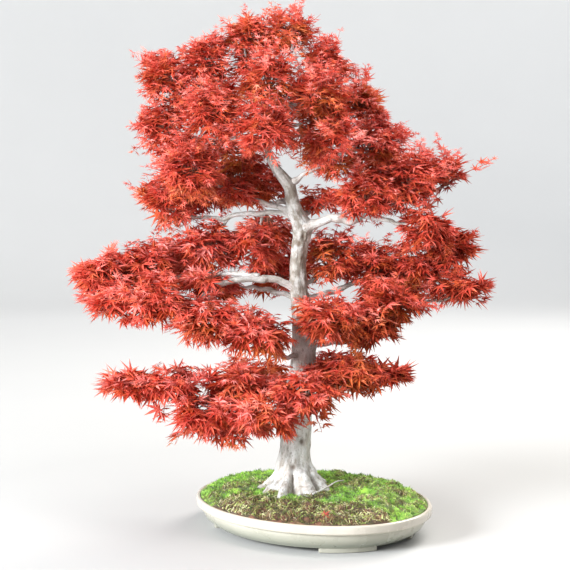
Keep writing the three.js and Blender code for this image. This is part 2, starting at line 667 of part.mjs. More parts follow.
const rootRoom = joined(trunkBase(GAP + 0.1).map((geometry) => geometry.applyMatrix4(treePlace)));
bonsai.add(meshOf('soil', soil().subtract(rootRoom), SOIL));
const moss = mossCarpet().subtract(rootRoom);
bonsai.add(meshOf('moss_green', moss.subtract(dryArea(MOSS_JOINT)), GREEN_MOSS));
bonsai.add(meshOf('moss_dry', moss.intersect(dryArea(0)), DRY_MOSS));

const tree = new THREE.Group();
tree.rotation.z = TREE_TURN;
tree.position.set(TREE_X, TREE_Y, 0);
const trunkSolid = trunk();
keep(trunkSolid);
tree.add(meshOf('trunk', trunkSolid, BARK));
[...limbLines, ...twigLines].forEach((line, i) => {
  tree.add(meshOf(`spray_${line.spray}`, sprayOn(line, seeded(101 + 37 * i)), LEAF));
});
bonsai.add(tree);

// The part's origin lies under the middle of its box
const box = new THREE.Box3().setFromObject(bonsai, true);
const middle = box.getCenter(new THREE.Vector3());
bonsai.position.set(-middle.x, -middle.y, -box.min.z);

export default bonsai;
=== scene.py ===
"""The looks of a beni chidori Japanese maple bonsai: bark, foliage, moss, glaze, light and camera.

Shapes are worked out in millimetres, in one of two frames, and turned into Blender's metres at the end.
The pot frame has its origin under the middle of the pot, with X along the pot's long side. The tree frame
stands at the trunk's foot: +X to the right of the tree's front, +Y away from it.
"""

import math
from itertools import product

import bpy
import numpy as np
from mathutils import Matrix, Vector
from mathutils.bvhtree import BVHTree


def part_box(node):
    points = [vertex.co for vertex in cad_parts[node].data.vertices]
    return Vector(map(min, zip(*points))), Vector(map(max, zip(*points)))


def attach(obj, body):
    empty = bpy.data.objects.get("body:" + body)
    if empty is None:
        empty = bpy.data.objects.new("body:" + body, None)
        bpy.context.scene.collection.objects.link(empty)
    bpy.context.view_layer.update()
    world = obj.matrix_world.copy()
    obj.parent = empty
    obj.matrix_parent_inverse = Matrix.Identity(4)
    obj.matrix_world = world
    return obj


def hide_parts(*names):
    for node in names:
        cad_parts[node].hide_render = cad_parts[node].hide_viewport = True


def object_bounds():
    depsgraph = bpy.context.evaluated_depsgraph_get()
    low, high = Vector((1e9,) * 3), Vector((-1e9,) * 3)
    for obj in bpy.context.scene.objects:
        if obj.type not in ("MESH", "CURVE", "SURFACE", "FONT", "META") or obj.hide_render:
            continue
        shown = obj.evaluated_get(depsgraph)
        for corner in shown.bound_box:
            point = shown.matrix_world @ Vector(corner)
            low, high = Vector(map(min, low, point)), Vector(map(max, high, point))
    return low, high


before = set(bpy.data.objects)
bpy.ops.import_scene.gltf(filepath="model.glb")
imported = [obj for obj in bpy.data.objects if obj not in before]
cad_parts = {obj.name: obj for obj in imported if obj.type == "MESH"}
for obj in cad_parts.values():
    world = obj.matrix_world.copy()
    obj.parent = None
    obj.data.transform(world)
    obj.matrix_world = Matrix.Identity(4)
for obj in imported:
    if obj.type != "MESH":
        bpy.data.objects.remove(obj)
cad_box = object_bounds()

MM = 0.001
SEED = 20

# Pot. Each foot spans these turns round the base, in degrees, and corners sharper than the crease show
LIP_OVERHANG = 8.0
LIP_BAND = 12.5
BASE_INSET = 25.0
FOOT_HEIGHT = 7.0
FOOT_DEPTH = 15.0
FOOT_SPAN = (17.0, 51.0)
FLOOR_TOP = 14.0
DRAIN_RADIUS = 12.0
DRAIN_X = 88.0
POT_SEGMENTS = 200
CREASE = 40.0

# Ground: the soil's dome, the mound at the trunk, and the moss on it
SOIL_EDGE_HEIGHT = 37.5
SOIL_HALF_LENGTH = 174.8
DOME_HEIGHT = 15.0
DOME_POWER = 4
MOUND_HEIGHT = 3.0
MOUND_RADIUS = 60.0
GROUND_SLOPE = 0.015
MOSS_THICKNESS = 4.8
MOSS_EDGE_THICKNESS = 2.4
GROUND_HALF_LENGTH = 181.6
CARPET_RINGS = 40
CARPET_AROUND = 200
MOSS_SHOOTS = 11500
MOSS_STRANDS = 3200
STRAND_TAPER = (0.6, 1.0, 0.3)
BARE_RADIUS = 34.0

# The line in front of which the moss has dried: x and y in the tree frame
DRY_BORDER = [
    (-170, -70), (-130, -56), (-100, -42), (-60, -52), (-36, -72), (-10, -84), (18, -84), (52, -92),
    (92, -88), (116, -112), (132, -146), (138, -220),
]

# Half-dried patches in the green moss: x, y, radius and dryness
BROWNED = [
    (142, -82, 36, 0.62), (96, 22, 40, 0.5), (-92, 4, 32, 0.55), (152, -22, 30, 0.5), (-140, -20, 26, 0.4),
]

# What lies on the moss, in the tree frame: the leaf's x and y, turn and size, and the twig's course as x, y
# and height over the moss, with its radius at either end
FALLEN_LEAF = ((36, -150), 0.7, 14)
FALLEN_TWIG = [(22, -64, 2.5), (42, -40, 8.0), (58, -4, 9.0), (70, 26, 3.0)]
FALLEN_TWIG_RADII = (1.5, 0.9)
FALLEN_TWIG_STEP = 2.5

# Where the tree stands in the pot, and how far its front is turned from the pot's long side
TREE_TURN = math.radians(42)
TREE_FOOT = (-20.4, -11.7)

# Trunk: centre x, height and radius, in the plane of the tree's front
TRUNK = [
    (-1, 36, 28), (-2, 75, 26), (-4, 97, 24.6), (-3, 117, 23.4), (-1.5, 145, 22.4), (1, 183, 20.3),
    (6, 225, 19), (9.4, 266, 17.4), (8.7, 296, 15.6), (5.7, 325, 13.7), (2, 365, 11.8), (0.4, 395, 11.4),
    (3.5, 420, 12), (6, 438, 12.5), (3, 456, 12.3), (-3.5, 472, 11.5), (-8.5, 491, 9.2), (-12, 508, 8.1),
    (-20, 520, 7.8), (-31, 533, 6.7), (-40, 549, 5.4), (-45, 566, 4.2), (-46, 583, 3.5), (-38, 613, 2.9),
    (-29, 650, 2.1), (-25, 700, 1.4),
]
TRUNK_STEP = 1.9
TRUNK_SIDES = 96

# Roots: how far each stands out, and for each height the hollows' reach and the share of the roots' reach
ROOT_REACH = [50, 56, 62, 66, 60, 58, 66, 72, 68, 58]
ROOT_FLARE = [
    (36, 44, 0.95), (50, 46, 1), (61, 43, 0.95), (70, 38, 0.78), (80, 32, 0.61), (92, 26, 0.45),
    (106, 21, 0.32), (124, 16, 0.22),
]

# Old pruning scars on the trunk: height, turn from the tree's right in degrees, and size
SCARS = [
    (424, 262, 6.5), (436, 281, 5), (404, 300, 4), (372, 338, 6), (300, 250, 5), (246, 305, 4.5),
    (160, 240, 5), (132, 292, 6), (196, 30, 6), (282, 110, 6), (348, 160, 4.5), (222, 170, 6), (95, 268, 7),
]

# Limbs in the tree frame: their line, and their radius at the trunk. The last name is the spray that ends it
LIMBS = [
    ([(-6, 0, 192), (-40, -10, 200), (-90, -25, 199), (-150, -32, 198), (-215, -34, 202)], 6, "low_left_tip"),
    ([(6, 0, 216), (50, -20, 212), (100, -32, 213)], 5, "low_right"),
    ([(0, -8, 168), (-12, -50, 166), (-30, -76, 170)], 5, "low_front"),
    ([(4, -8, 198), (6, -36, 194)], 4, "low_centre"),
    ([(-2, 8, 182), (-20, 45, 188)], 5, "low_back_left"),
    ([(8, 8, 204), (36, 45, 202)], 5, "low_back_right"),
    ([(0, 0, 358), (-34, -14, 372), (-78, -28, 374), (-112, -38, 368), (-141, -45, 348), (-177, -50, 335),
      (-206, -55, 320), (-240, -58, 322)], 5.5, "mid_left_low_tip"),
    ([(-56, -20, 376), (-100, -4, 380), (-165, 4, 376), (-225, -5, 368), (-260, -20, 368)], 4,
     "mid_left_tip"),
    ([(0, 8, 342), (-40, 50, 350), (-105, 82, 354), (-140, 90, 358)], 4, "mid_back_left"),
    ([(6, -6, 262), (-16, -40, 262)], 4, "mid_front"),
    ([(8, -6, 288), (22, -34, 294)], 4, "mid_right_low_inner"),
    ([(6, 0, 338), (49, 20, 350), (84, 30, 362), (134, 32, 374), (180, 24, 372), (210, 14, 384)], 4.5,
     "mid_right_tip"),
    ([(2, 2, 360), (30, 14, 372)], 3.6, "mid_right_inner"),
    ([(9, 0, 300), (63, -10, 309), (114, -15, 322), (160, -15, 335), (212, -15, 342)], 4.5,
     "mid_right_low_tip"),
    ([(6, 8, 316), (60, 60, 322), (112, 88, 328)], 5, "mid_back_right"),
    ([(9, 0, 268), (56, -15, 278), (88, -24, 281)], 4, "mid_right_cut"),
    ([(4, 0, 446), (28, -5, 453), (53, -12, 463), (77, -10, 455), (102, -5, 468), (122, 0, 479),
      (151, 5, 484), (196, 8, 500)], 7, "shelf_tip"),
    ([(100, -6, 466), (135, -14, 456), (158, -20, 452)], 3.6, "shelf_low"),
    ([(2, 6, 462), (50, 50, 480), (112, 74, 490)], 3.8, "shelf_back"),
    ([(-4, 0, 466), (-39, 8, 470), (-81, 14, 466), (-129, 14, 460), (-172, 12, 468)], 4.2, "upper_left_tip"),
    ([(-6, 0, 470), (-47, -8, 483), (-84, -15, 499), (-116, -48, 512)], 3.9, "upper_left_front"),
    ([(-8, 4, 486), (-60, 45, 482), (-105, 70, 482)], 4, "upper_left_back"),
    ([(-8, 0, 514), (24, -5, 532), (44, -8, 546), (80, -4, 562)], 3.4, "crown_right_low"),
    ([(-43, 0, 560), (-90, 4, 576), (-150, 5, 580)], 3.4, "crown_left"),
    ([(-42, 0, 598), (-85, -4, 626), (-150, -4, 644)], 3, "crown_left_top"),
    ([(-45, 0, 580), (-5, 3, 598), (60, 5, 610)], 3.4, "crown_right"),
    ([(-35, 0, 625), (2, -2, 650), (26, 2, 670)], 2.8, "crown_upper_right"),
    ([(-45, -2, 572), (-50, -45, 574), (-48, -76, 576)], 3.2, "crown_front"),
    ([(-38, -1, 612), (-32, -28, 628), (-36, -46, 638)], 2.8, "crown_front_high"),
    ([(-33, -1, 634), (-8, -24, 628), (12, -42, 624)], 2.8, "crown_front_right"),
    ([(-40, 1, 604), (-72, 40, 614), (-98, 62, 618)], 3, "crown_back_left"),
    ([(-34, 1, 630), (-8, 42, 622), (6, 62, 620)], 3, "crown_back_right"),
]
LIMB_STEP = 3.6
LIMB_SIDES = 10
LIMB_END_RADIUS = 1.7

# Where a spray stands on its limb or twig: the last stretch's length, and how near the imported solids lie
# there, in metres
SEAT_RUN = 5.0
SEAT_GAP = 0.001

# Bare twigs: how much a forward course counts against a short one, and the least distance
TWIG_FORWARD = 1.7
TWIG_LEAST = 26.0
TWIG_RADIUS = 2.1
TWIG_SIDES = 7

# Sprays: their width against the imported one, and half their height at each height of the tree
SPRAYS = sorted(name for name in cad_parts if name.startswith("spray_"))
SPREAD = 1.1
TIER_RISE = [(200, 30), (260, 34), (320, 44), (400, 46), (510, 60), (690, 60), (740, 38)]
CROWN_LOW = 200.0
CROWN_TOP = 740.0

# Shoots: how many for an area, how far down and up they point in degrees, their radii and those of the
# twigs that bear them, and where their leaf pairs stand
SHOOTS = 26
SHOOT_AREA = 7000.0
SHOOT_LOWEST = -55.0
SHOOT_HIGHEST = 72.0
GOLDEN_TURN = 2.399963
SHOOT_RADII = (0.75, 0.62, 0.5, 0.32)
STEM_RADII = (1.35, 1.05, 0.8)
PETIOLE_RADIUS = 0.38
SPRIGS = 4
SPRIG_REACH = 0.4
PAIRS = (0.12, 0.36, 0.58, 0.78, 0.96)

# The tips of the longest shoots, which stand out of the crown's outline: x and z in the tree frame
LONG_SHOOTS = [
    (-76, 768), (-110, 752), (-28, 772), (6, 774), (34, 758), (62, 734), (-238, 702), (-150, 722),
    (104, 684), (-232, 668), (-246, 596), (-240, 560), (156, 600), (205, 582), (236, 560), (286, 547),
    (-246, 510), (262, 440), (-268, 424), (-314, 388), (-318, 350), (-290, 322), (280, 366), (270, 340),
    (-282, 206), (-252, 226), (156, 228), (118, 206), (-182, 138), (-198, 163), (36, 150),
]

# Tufts of shoots on the old wood between the sprays: the spray they go with, their middle, and half their
# width and height
TUFTS_ON_WOOD = [
    ("upper_left", (-48, 34, 508), 44, 28), ("shelf_inner", (34, 44, 488), 40, 20),
    ("crown_back_right", (10, 34, 562), 46, 36), ("mid_trunk_left", (-34, 40, 430), 42, 24),
    ("crown_right_low", (62, 40, 540), 40, 30), ("mid_left_inner", (-116, -10, 354), 34, 15),
    ("crown_left", (-176, 10, 548), 44, 32), ("upper_left_back", (-110, 40, 506), 40, 24),
    ("crown_top_left", (-78, 10, 686), 36, 24), ("crown_left", (-116, 20, 566), 40, 22),
    ("low_front", (-92, -56, 152), 76, 14), ("upper_left_front", (-92, -30, 500), 34, 20),
    ("mid_left_inner", (-142, -30, 372), 38, 12),
]
TUFT_SHOOTS = 15

# The tree's outline: for each height, how far the foliage reaches to the left, to the right, and in depth
OUTLINE = [
    (130, 172, 20, 120), (155, 186, 34, 150), (182, 178, 58, 155), (196, 208, 80, 155),
    (210, 284, 108, 158), (224, 266, 158, 160), (242, 234, 148, 160), (262, 115, 100, 155),
    (280, 172, 105, 150), (312, 284, 160, 155), (332, 298, 238, 165), (370, 322, 278, 174),
    (403, 300, 240, 172), (438, 256, 252, 160), (460, 214, 212, 145), (505, 240, 206, 145),
    (528, 228, 222, 150), (545, 246, 252, 152), (580, 248, 184, 155), (600, 236, 138, 150),
    (635, 218, 118, 150), (682, 236, 96, 140), (702, 236, 50, 115), (720, 142, 52, 105), (738, 106, 36, 76),
    (754, 58, 8, 30),
]
OUTLINE_POWER = 2.6

# How far past the outline the longer shoots' leaves may stand, and how much further near the top
SPRIG_ROOM = 0.3
TOP_FROM = 734.0
TOP_ROOM = 1.8

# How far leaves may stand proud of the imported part's box, as a share of each side and in metres
PROUD_SHARE = 0.02
PROUD = 0.01

# Where the trunk's front is kept clear of leaves: from one height to another, and how far beside it
CLEAR_FROM = 400.0
CLEAR_TO = 512.0
CLEAR_ROOM = 12.0

# Leaf sizes low and high on the tree, the sizes that get the plainer forms, and how much larger the leaves
# are that lie deeper in a spray than a share of its depth
LEAF_LOW = 20.5
LEAF_TOP = 12.5
LARGE_FROM = 15.5
SMALL_UP_TO = 11.5
OUTER_FROM = 0.62
INNER_SIZE = 1.3

# Leaf, for a middle lobe of length 1. Lobes are angle in degrees, length and half width
LEAF_THICKNESS = 0.025
LEAF_NECK = 0.1
LEAF_BELLY = 0.5
LEAF_FOLD = 0.035
LEAF_SINUS = 0.27
LOBES = [(-128, 0.42, 0), (-86, 0.70, 0.075), (-43, 0.92, 0.09), (0, 1.0, 0.1), (43, 0.92, 0.09),
         (86, 0.70, 0.075), (128, 0.42, 0)]

# Painted light and shade on the leaves, growing with the distance from the trunk: that distance, how much
# brighter the left is painted, and how much brighter or darker the right at each height
PAINTED_LIGHT_SPAN = 250.0
PAINTED_LIGHT_LEFT = 0.12
PAINTED_LIGHT_RIGHT = [(200, -1.15), (340, -0.3), (530, -0.1), (560, 0.4), (640, 0.9)]

# Lights: name, place in the tree frame in millimetres, and size in metres, power and colour
COOL = (0.93, 0.96, 1.0)
WARM = (1.0, 0.97, 0.93)
LIGHTS = [
    ("key", (-1950, -1600, 1000), 0.9, 150, COOL), ("fill", (1500, -1200, 2200), 1.6, 14, WARM),
    ("back", (1300, 1300, 2000), 1.4, 60, WARM), ("top", (300, -500, 2400), 1.4, 22, WARM),
]
LIGHT_TARGET = (0, 0, 380)
SKY = (0.90, 0.92, 0.95, 1)
SKY_STRENGTH = 0.52

# Camera: its place in the tree frame, how far it looks down in degrees, and its lens
EYE = (-18, -2205, 575)
EYE_DOWN = 5.5
LENS = 94.74
SENSOR = 36.0

# Floor, in metres: flat out to a radius, then curving up through a turn in degrees
FLOOR_FLAT = 3.0
SWEEP_FROM = 3.2
SWEEP_RADIUS = 1.6
SWEEP_TURN = 83.079
FLOOR_SINK = 0.0005
FLOOR_SEGMENTS = 96


# Arrays

def unit(vectors):
    """Each row scaled to length 1."""
    return vectors / np.maximum(np.linalg.norm(vectors, axis=-1, keepdims=True), 1e-9)


def noise(points, seed=0):
    """Smooth noise from -1 to 1 at each row of points, with one wave to a unit."""
    points = np.asarray(points, float)
    cell = np.floor(points).astype(np.int64)
    part = points - cell
    part = part * part * (3 - 2 * part)
    total = np.zeros(len(points))
    for corner in product((0, 1), repeat=3):
        at = cell + corner
        mixed = (at[:, 0] * 73856093) ^ (at[:, 1] * 19349663) ^ (at[:, 2] * 83492791) ^ (seed * 2654435761)
        mixed = ((mixed ^ (mixed >> 13)) * 1274126177) & 0xFFFFFFFF
        value = ((mixed ^ (mixed >> 16)) & 0xFFFF) / 32767.5 - 1
        total += value * np.prod(np.where(corner, part, 1 - part), axis=1)
    return total


def layered_noise(points, seed=0, layers=3):
    """Noise with finer, weaker noise on it."""
    points = np.asarray(points, float)
    return sum(noise(points * 2.1 ** i, seed + i) / 1.9 ** i for i in range(layers))


def rising(values, start, end):
    """0 up to the start, 1 from the end on, and even between them. The start may be the higher one."""
    return np.clip((values - start) / (end - start), 0, 1)


def bell(values, middle, width):
    """1 at the middle, and nearly 0 from two widths away."""
    return np.exp(-((values - middle) / width) ** 2)


def columns(table, places):
    """A table's other columns, read at places along its first one."""
    first, *others = np.array(table, float).T
    return [np.interp(places, first, other) for other in others]


def circle(count):
    """Turns spaced evenly round a circle."""
    return 2 * math.pi * np.arange(count) / count


def about_axis(turn, reach, height, across=1.0, along=1.0):
    """Places round an upright axis, scaled across it and along it."""
    return np.stack([np.cos(turn) * reach * across, np.sin(turn) * reach * across, height * along], axis=-1)


def arc(centre, radius, start, end, steps):
    """Points of an arc in the profile's plane, angles in degrees."""
    turn = np.radians(np.linspace(start, end, steps))
    return [(centre[0] + radius * math.cos(a), centre[1] + radius * math.sin(a)) for a in turn]


# Frames

pot_low, pot_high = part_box("pot")
POT_CENTRE = np.array([(pot_low.x + pot_high.x) / 2, (pot_low.y + pot_high.y) / 2, 0.0])
POT_HALF_LENGTH = (pot_high.x - pot_low.x) / 2 / MM
POT_OVAL = (pot_high.y - pot_low.y) / (pot_high.x - pot_low.x)
POT_HEIGHT = pot_high.z / MM
BAND_LOW = POT_HEIGHT - LIP_BAND

BOX_LOW, BOX_HIGH = (np.array(corner) for corner in cad_box)
BOX_MIDDLE = (BOX_LOW + BOX_HIGH) / 2
BOX_REACH = (BOX_HIGH - BOX_LOW) * (0.5 + PROUD_SHARE) + PROUD


def from_pot(points):
    """Pot frame in millimetres to the row's frame in metres."""
    return np.asarray(points, float) * MM + POT_CENTRE


def tree_in_pot(points):
    """Tree frame to pot frame, both in millimetres."""
    points = np.asarray(points, float)
    cos, sin = math.cos(TREE_TURN), math.sin(TREE_TURN)
    x, y = points[..., 0], points[..., 1]
    turned = [cos * x - sin * y + TREE_FOOT[0], sin * x + cos * y + TREE_FOOT[1], points[..., 2]]
    return np.stack(turned, axis=-1)


def from_tree(points):
    """Tree frame in millimetres to the row's frame in metres."""
    return from_pot(tree_in_pot(points))


def to_tree(points):
    """Row's frame in metres to the tree frame in millimetres."""
    points = (np.asarray(points, float) - POT_CENTRE) / MM
    x, y = points[..., 0] - TREE_FOOT[0], points[..., 1] - TREE_FOOT[1]
    cos, sin = math.cos(TREE_TURN), math.sin(TREE_TURN)
    return np.stack([cos * x + sin * y, cos * y - sin * x, points[..., 2]], axis=-1)


CENTRES = {name: to_tree(np.array(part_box(name))).mean(axis=0) for name in SPRAYS}


# Meshes

def build(name, points, faces, materials, smooth=False, slots=None, tone=None, grain=None):
    """An object from points in metres and a list of face arrays, each of triangles or of quads.
    tone and grain are vectors at the points, or one for all of them, which the materials read."""
    mesh = bpy.data.meshes.new(name)
    sizes = np.concatenate([np.full(len(part), part.shape[1]) for part in faces])
    corners = np.concatenate([part.ravel() for part in faces])
    mesh.vertices.add(len(points))
    mesh.vertices.foreach_set("co", np.ascontiguousarray(points, np.float32).ravel())
    mesh.loops.add(len(corners))
    mesh.loops.foreach_set("vertex_index", corners.astype(np.int32))
    mesh.polygons.add(len(sizes))
    mesh.polygons.foreach_set("loop_start", (np.cumsum(sizes) - sizes).astype(np.int32))
    mesh.polygons.foreach_set("use_smooth", np.full(len(sizes), smooth))
    for material in materials:
        mesh.materials.append(material)
    if slots is not None:
        mesh.polygons.foreach_set("material_index", slots.astype(np.int32))
    for label, values in (("tone", tone), ("grain", grain)):
        if values is not None:
            add_attribute(mesh, label, values)
    mesh.update(calc_edges=True)
    mesh.validate()
    piece = bpy.data.objects.new(name, mesh)
    bpy.context.scene.collection.objects.link(piece)
    return piece


def add_attribute(mesh, label, values):
    """A vector at each of the mesh's points."""
    rows = np.broadcast_to(values, (len(mesh.vertices), 3)).astype(np.float32)
    mesh.attributes.new(label, "FLOAT_VECTOR", "POINT").data.foreach_set("vector", rows.ravel())


def settle(piece, slot, *nodes):
    """The piece moves with the part and stands for CAD nodes, which it hides; slot is not used."""
    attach(piece, "root")
    if nodes:
        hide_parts(*nodes)


def gathered(parts):
    """Several parts joined into one: each starts with its points and its list of face arrays."""
    points = np.concatenate([part[0] for part in parts])
    shifts = np.cumsum([0] + [len(part[0]) for part in parts])
    faces = [array + shift for part, shift in zip(parts, shifts) for array in part[1]]
    return points, faces


def wrapped_faces(rings, around):
    """Quads of a grid of rings, each closed on itself."""
    ring = np.arange(rings - 1)[:, None] * around
    here = np.arange(around)[None, :]
    there = (here + 1) % around
    quads = [ring + here, ring + there, ring + around + there, ring + around + here]
    return np.stack(quads, axis=-1).reshape(-1, 4)


def capped_faces(rings, around):
    """Quads of the rings, with a fan of triangles over the first and over the last."""
    fan = np.array([(0, i, i + 1) for i in range(1, around - 1)])
    return [wrapped_faces(rings, around), fan[:, ::-1], (rings - 1) * around + fan]


def copied_faces(faces, copies, each):
    """The faces of copies that stand one after another, with so many points each."""
    return (faces[None] + each * np.arange(copies)[:, None, None]).reshape(-1, faces.shape[1])


def tubes(lines, radii, sides):
    """Closed round rods along many lines at once: lines (count, rings, 3) and radii (count, rings).
    Returns points, face arrays, and for each point its rod and its direction from the line."""
    count, rings = radii.shape
    along = unit(np.gradient(lines, axis=1))
    guide = np.eye(3)[np.argmin(np.abs(lines[:, -1] - lines[:, 0]), axis=1)]
    side = unit(np.cross(along, guide[:, None]))
    other = np.cross(along, side)
    turn = circle(sides)
    out = np.cos(turn)[:, None] * side[:, :, None] + np.sin(turn)[:, None] * other[:, :, None]
    points = (lines[:, :, None] + radii[:, :, None, None] * out).reshape(-1, 3)
    faces = [copied_faces(part, count, rings * sides) for part in capped_faces(rings, sides)]
    return points, faces, np.repeat(np.arange(count), rings * sides), out.reshape(-1, 3)


def smooth_line(points, step):
    """Evenly spaced points on a smooth curve through the given ones, which are rows."""
    points = np.asarray(points, float)
    padded = np.vstack([2 * points[0] - points[1], points, 2 * points[-1] - points[-2]])
    drawn = []
    for p0, p1, p2, p3 in zip(padded, padded[1:], padded[2:], padded[3:]):
        t = np.linspace(0, 1, 24, endpoint=False)[:, None]
        k1, k2, k3 = [max(np.linalg.norm(b - a), 1e-6) ** 0.5 for a, b in ((p0, p1), (p1, p2), (p2, p3))]
        m1 = ((p1 - p0) / k1 - (p2 - p0) / (k1 + k2) + (p2 - p1) / k2) * k2
        m2 = ((p2 - p1) / k2 - (p3 - p1) / (k2 + k3) + (p3 - p2) / k3) * k2
        drawn.append((2 * t**3 - 3 * t**2 + 1) * p1 + (t**3 - 2 * t**2 + t) * m1
                     + (3 * t**2 - 2 * t**3) * p2 + (t**3 - t**2) * m2)
    drawn = np.vstack(drawn + [points[-1:]])
    length = np.concatenate([[0], np.cumsum(np.linalg.norm(np.diff(drawn, axis=0), axis=1))])
    count = max(3, int(round(length[-1] / step)) + 1)
    even = np.linspace(0, length[-1], count)
    return np.stack([np.interp(even, length, drawn[:, i]) for i in range(drawn.shape[1])], axis=1)


# Materials

class Nodes:
    """A short way to build a material's nodes."""

    def __init__(self, name):
        self.material = bpy.data.materials.new(name)
        self.material.use_nodes = True
        self.tree = self.material.node_tree
        self.shader = self.tree.nodes["Principled BSDF"]

    def set(self, socket, value):
        if isinstance(value, bpy.types.NodeSocket):
            self.tree.links.new(value, socket)
        else:
            socket.default_value = value

    def node(self, kind, *inputs, **settings):
        """A node with its first inputs set in order, and the others and its properties by name."""
        node = self.tree.nodes.new("ShaderNode" + kind)
        for key, value in settings.items():
            if key in node.inputs:
                self.set(node.inputs[key], value)
            else:
                setattr(node, key, value)
        for socket, value in zip(node.inputs, inputs):
            self.set(socket, value)
        return node

    def base(self, **values):
        """Inputs of the surface shader."""
        for key, value in values.items():
            self.set(self.shader.inputs[key.replace("_", " ")], value)

    def where(self):
        return self.node("TexCoord").outputs["Object"]

    def attribute(self, name):
        return self.node("Attribute", attribute_name=name).outputs["Vector"]

    def tone(self):
        """The three numbers of the tone that build() stored."""
        return self.node("SeparateXYZ", Vector=self.attribute("tone")).outputs

    def times(self, vector, scale):
        return self.node("VectorMath", vector, scale, operation="MULTIPLY").outputs[0]

    def math(self, operation, first, second):
        return self.node("Math", first, second, operation=operation).outputs[0]

    def noise(self, vector, scale, detail=3.0, roughness=0.55):
        made = self.node("TexNoise", Vector=vector, Scale=scale, Detail=detail, Roughness=roughness)
        return made.outputs["Fac"]

    def ramp(self, value, *stops):
        """Colours or greys along a value from 0 to 1. A stop is (place, grey or colour)."""
        ramp = self.node("ValToRGB", value)
        points = ramp.color_ramp.elements
        while len(points) < len(stops):
            points.new(0.5)
        for point, (at, colour) in zip(points, stops):
            point.position = at
            point.color = (*colour, 1) if isinstance(colour, tuple) else (colour, colour, colour, 1)
        return ramp.outputs["Color"]

    def mix(self, share, first, second):
        """From the first colour to the second."""
        mixed = self.node("Mix", share, data_type="RGBA")
        for socket, value in ((mixed.inputs[6], first), (mixed.inputs[7], second)):
            self.set(socket, (*value, 1) if isinstance(value, tuple) else value)
        return mixed.outputs[2]

    def stained(self, colour, *stains):
        """The colour with stains laid over it: each is a value, two stops of a ramp along it, and a tint."""
        for value, start, end, tint in stains:
            colour = self.mix(self.ramp(value, start, end), colour, tint)
        return colour

    def tinted(self, colour, *tints):
        """The colour turned towards tints: each is a value, its share and a tint."""
        for value, share, tint in tints:
            colour = self.mix(self.math("MULTIPLY", value, share), colour, tint)
        return colour

    def bump(self, height, distance, strength):
        made = self.node("Bump", Height=height, Distance=distance, Strength=strength)
        self.base(Normal=made.outputs["Normal"])


def glaze_material():
    """Cream glaze: faintly mottled, browner where thin over edges, greener in the groove, and darker and
    greener low down as painted shade.
    """
    m = Nodes("glaze")
    edge, pool, low = m.tone()
    mottle = m.noise(m.where(), 28.0, 4.0)
    specks = m.ramp(m.noise(m.where(), 420.0, 2.0), (0.70, 0.0), (0.78, 1.0))
    cream = m.ramp(mottle, (0.3, (0.47, 0.435, 0.365)), (0.7, (0.58, 0.535, 0.46)))
    # The low tone is painted shade: dark green-grey below the band and on the feet.
    colour = m.tinted(cream, (low, 0.75, (0.20, 0.235, 0.17)), (edge, 0.55, (0.62, 0.53, 0.40)),
                      (pool, 0.6, (0.52, 0.53, 0.42)), (specks, 0.35, (0.42, 0.33, 0.22)))
    rough = m.ramp(mottle, (0.3, 0.24), (0.7, 0.34))
    m.base(Base_Color=colour, Roughness=rough, Coat_Weight=0.35, Coat_Roughness=0.12)
    m.bump(mottle, 0.0006, 0.35)
    return m.material


def bark_material():
    """Pale maple bark: chalky white with long grey and warm stripes, fine wrinkles, dark scars, dirt and
    painted shade.
    """
    m = Nodes("bark")
    scar_and_crease_shade, dirt_and_shade, green = m.tone()
    grain = m.attribute("grain")
    stripes = m.noise(m.times(grain, (1, 1, 0.3)), 0.14, 5.0, 0.62)
    patches = m.noise(m.times(grain, (1, 1, 0.6)), 0.035)
    wrinkles = m.noise(m.times(grain, (0.7, 0.7, 1.0)), 0.75, 4.0, 0.6)
    fleck = m.noise(m.times(grain, (1, 1, 0.5)), 0.34, 3.0, 0.6)
    cloud = m.ramp(m.noise(m.times(grain, (1, 1, 0.75)), 0.085, 4.0, 0.6), (0.38, 0.5), (0.56, 1.0))
    chalk = m.ramp(stripes, (0.33, (0.38, 0.37, 0.33)), (0.43, (0.68, 0.69, 0.65)),
                   (0.52, (0.86, 0.88, 0.86)), (0.66, (0.93, 0.96, 0.96)))
    colour = m.stained(chalk, (patches, (0.46, 0.0), (0.62, 0.55), (0.66, 0.57, 0.50)),
                       (fleck, (0.34, 0.7), (0.42, 0.0), (0.26, 0.24, 0.20)),
                       (wrinkles, (0.30, 0.5), (0.42, 0.0), (0.34, 0.30, 0.25)))
    # The second tone browns the bark: on the trunk, dirt at the foot and painted shade in the hollows,
    # creases, grooves and under the foliage; rod_skin sets it on limbs and twigs.
    colour = m.tinted(colour, (dirt_and_shade, cloud, (0.21, 0.178, 0.14)), (green, 0.6, (0.24, 0.28, 0.12)))
    # The first tone darkens scars, and lays painted shade in the creases round the limbs' collars.
    colour = m.mix(scar_and_crease_shade, colour, (0.14, 0.10, 0.07))
    m.base(Base_Color=colour, Roughness=m.ramp(wrinkles, (0.3, 0.9), (0.7, 0.72)))
    m.bump(m.math("ADD", m.math("MULTIPLY", stripes, 1.6), wrinkles), 0.0018, 0.85)
    return m.material


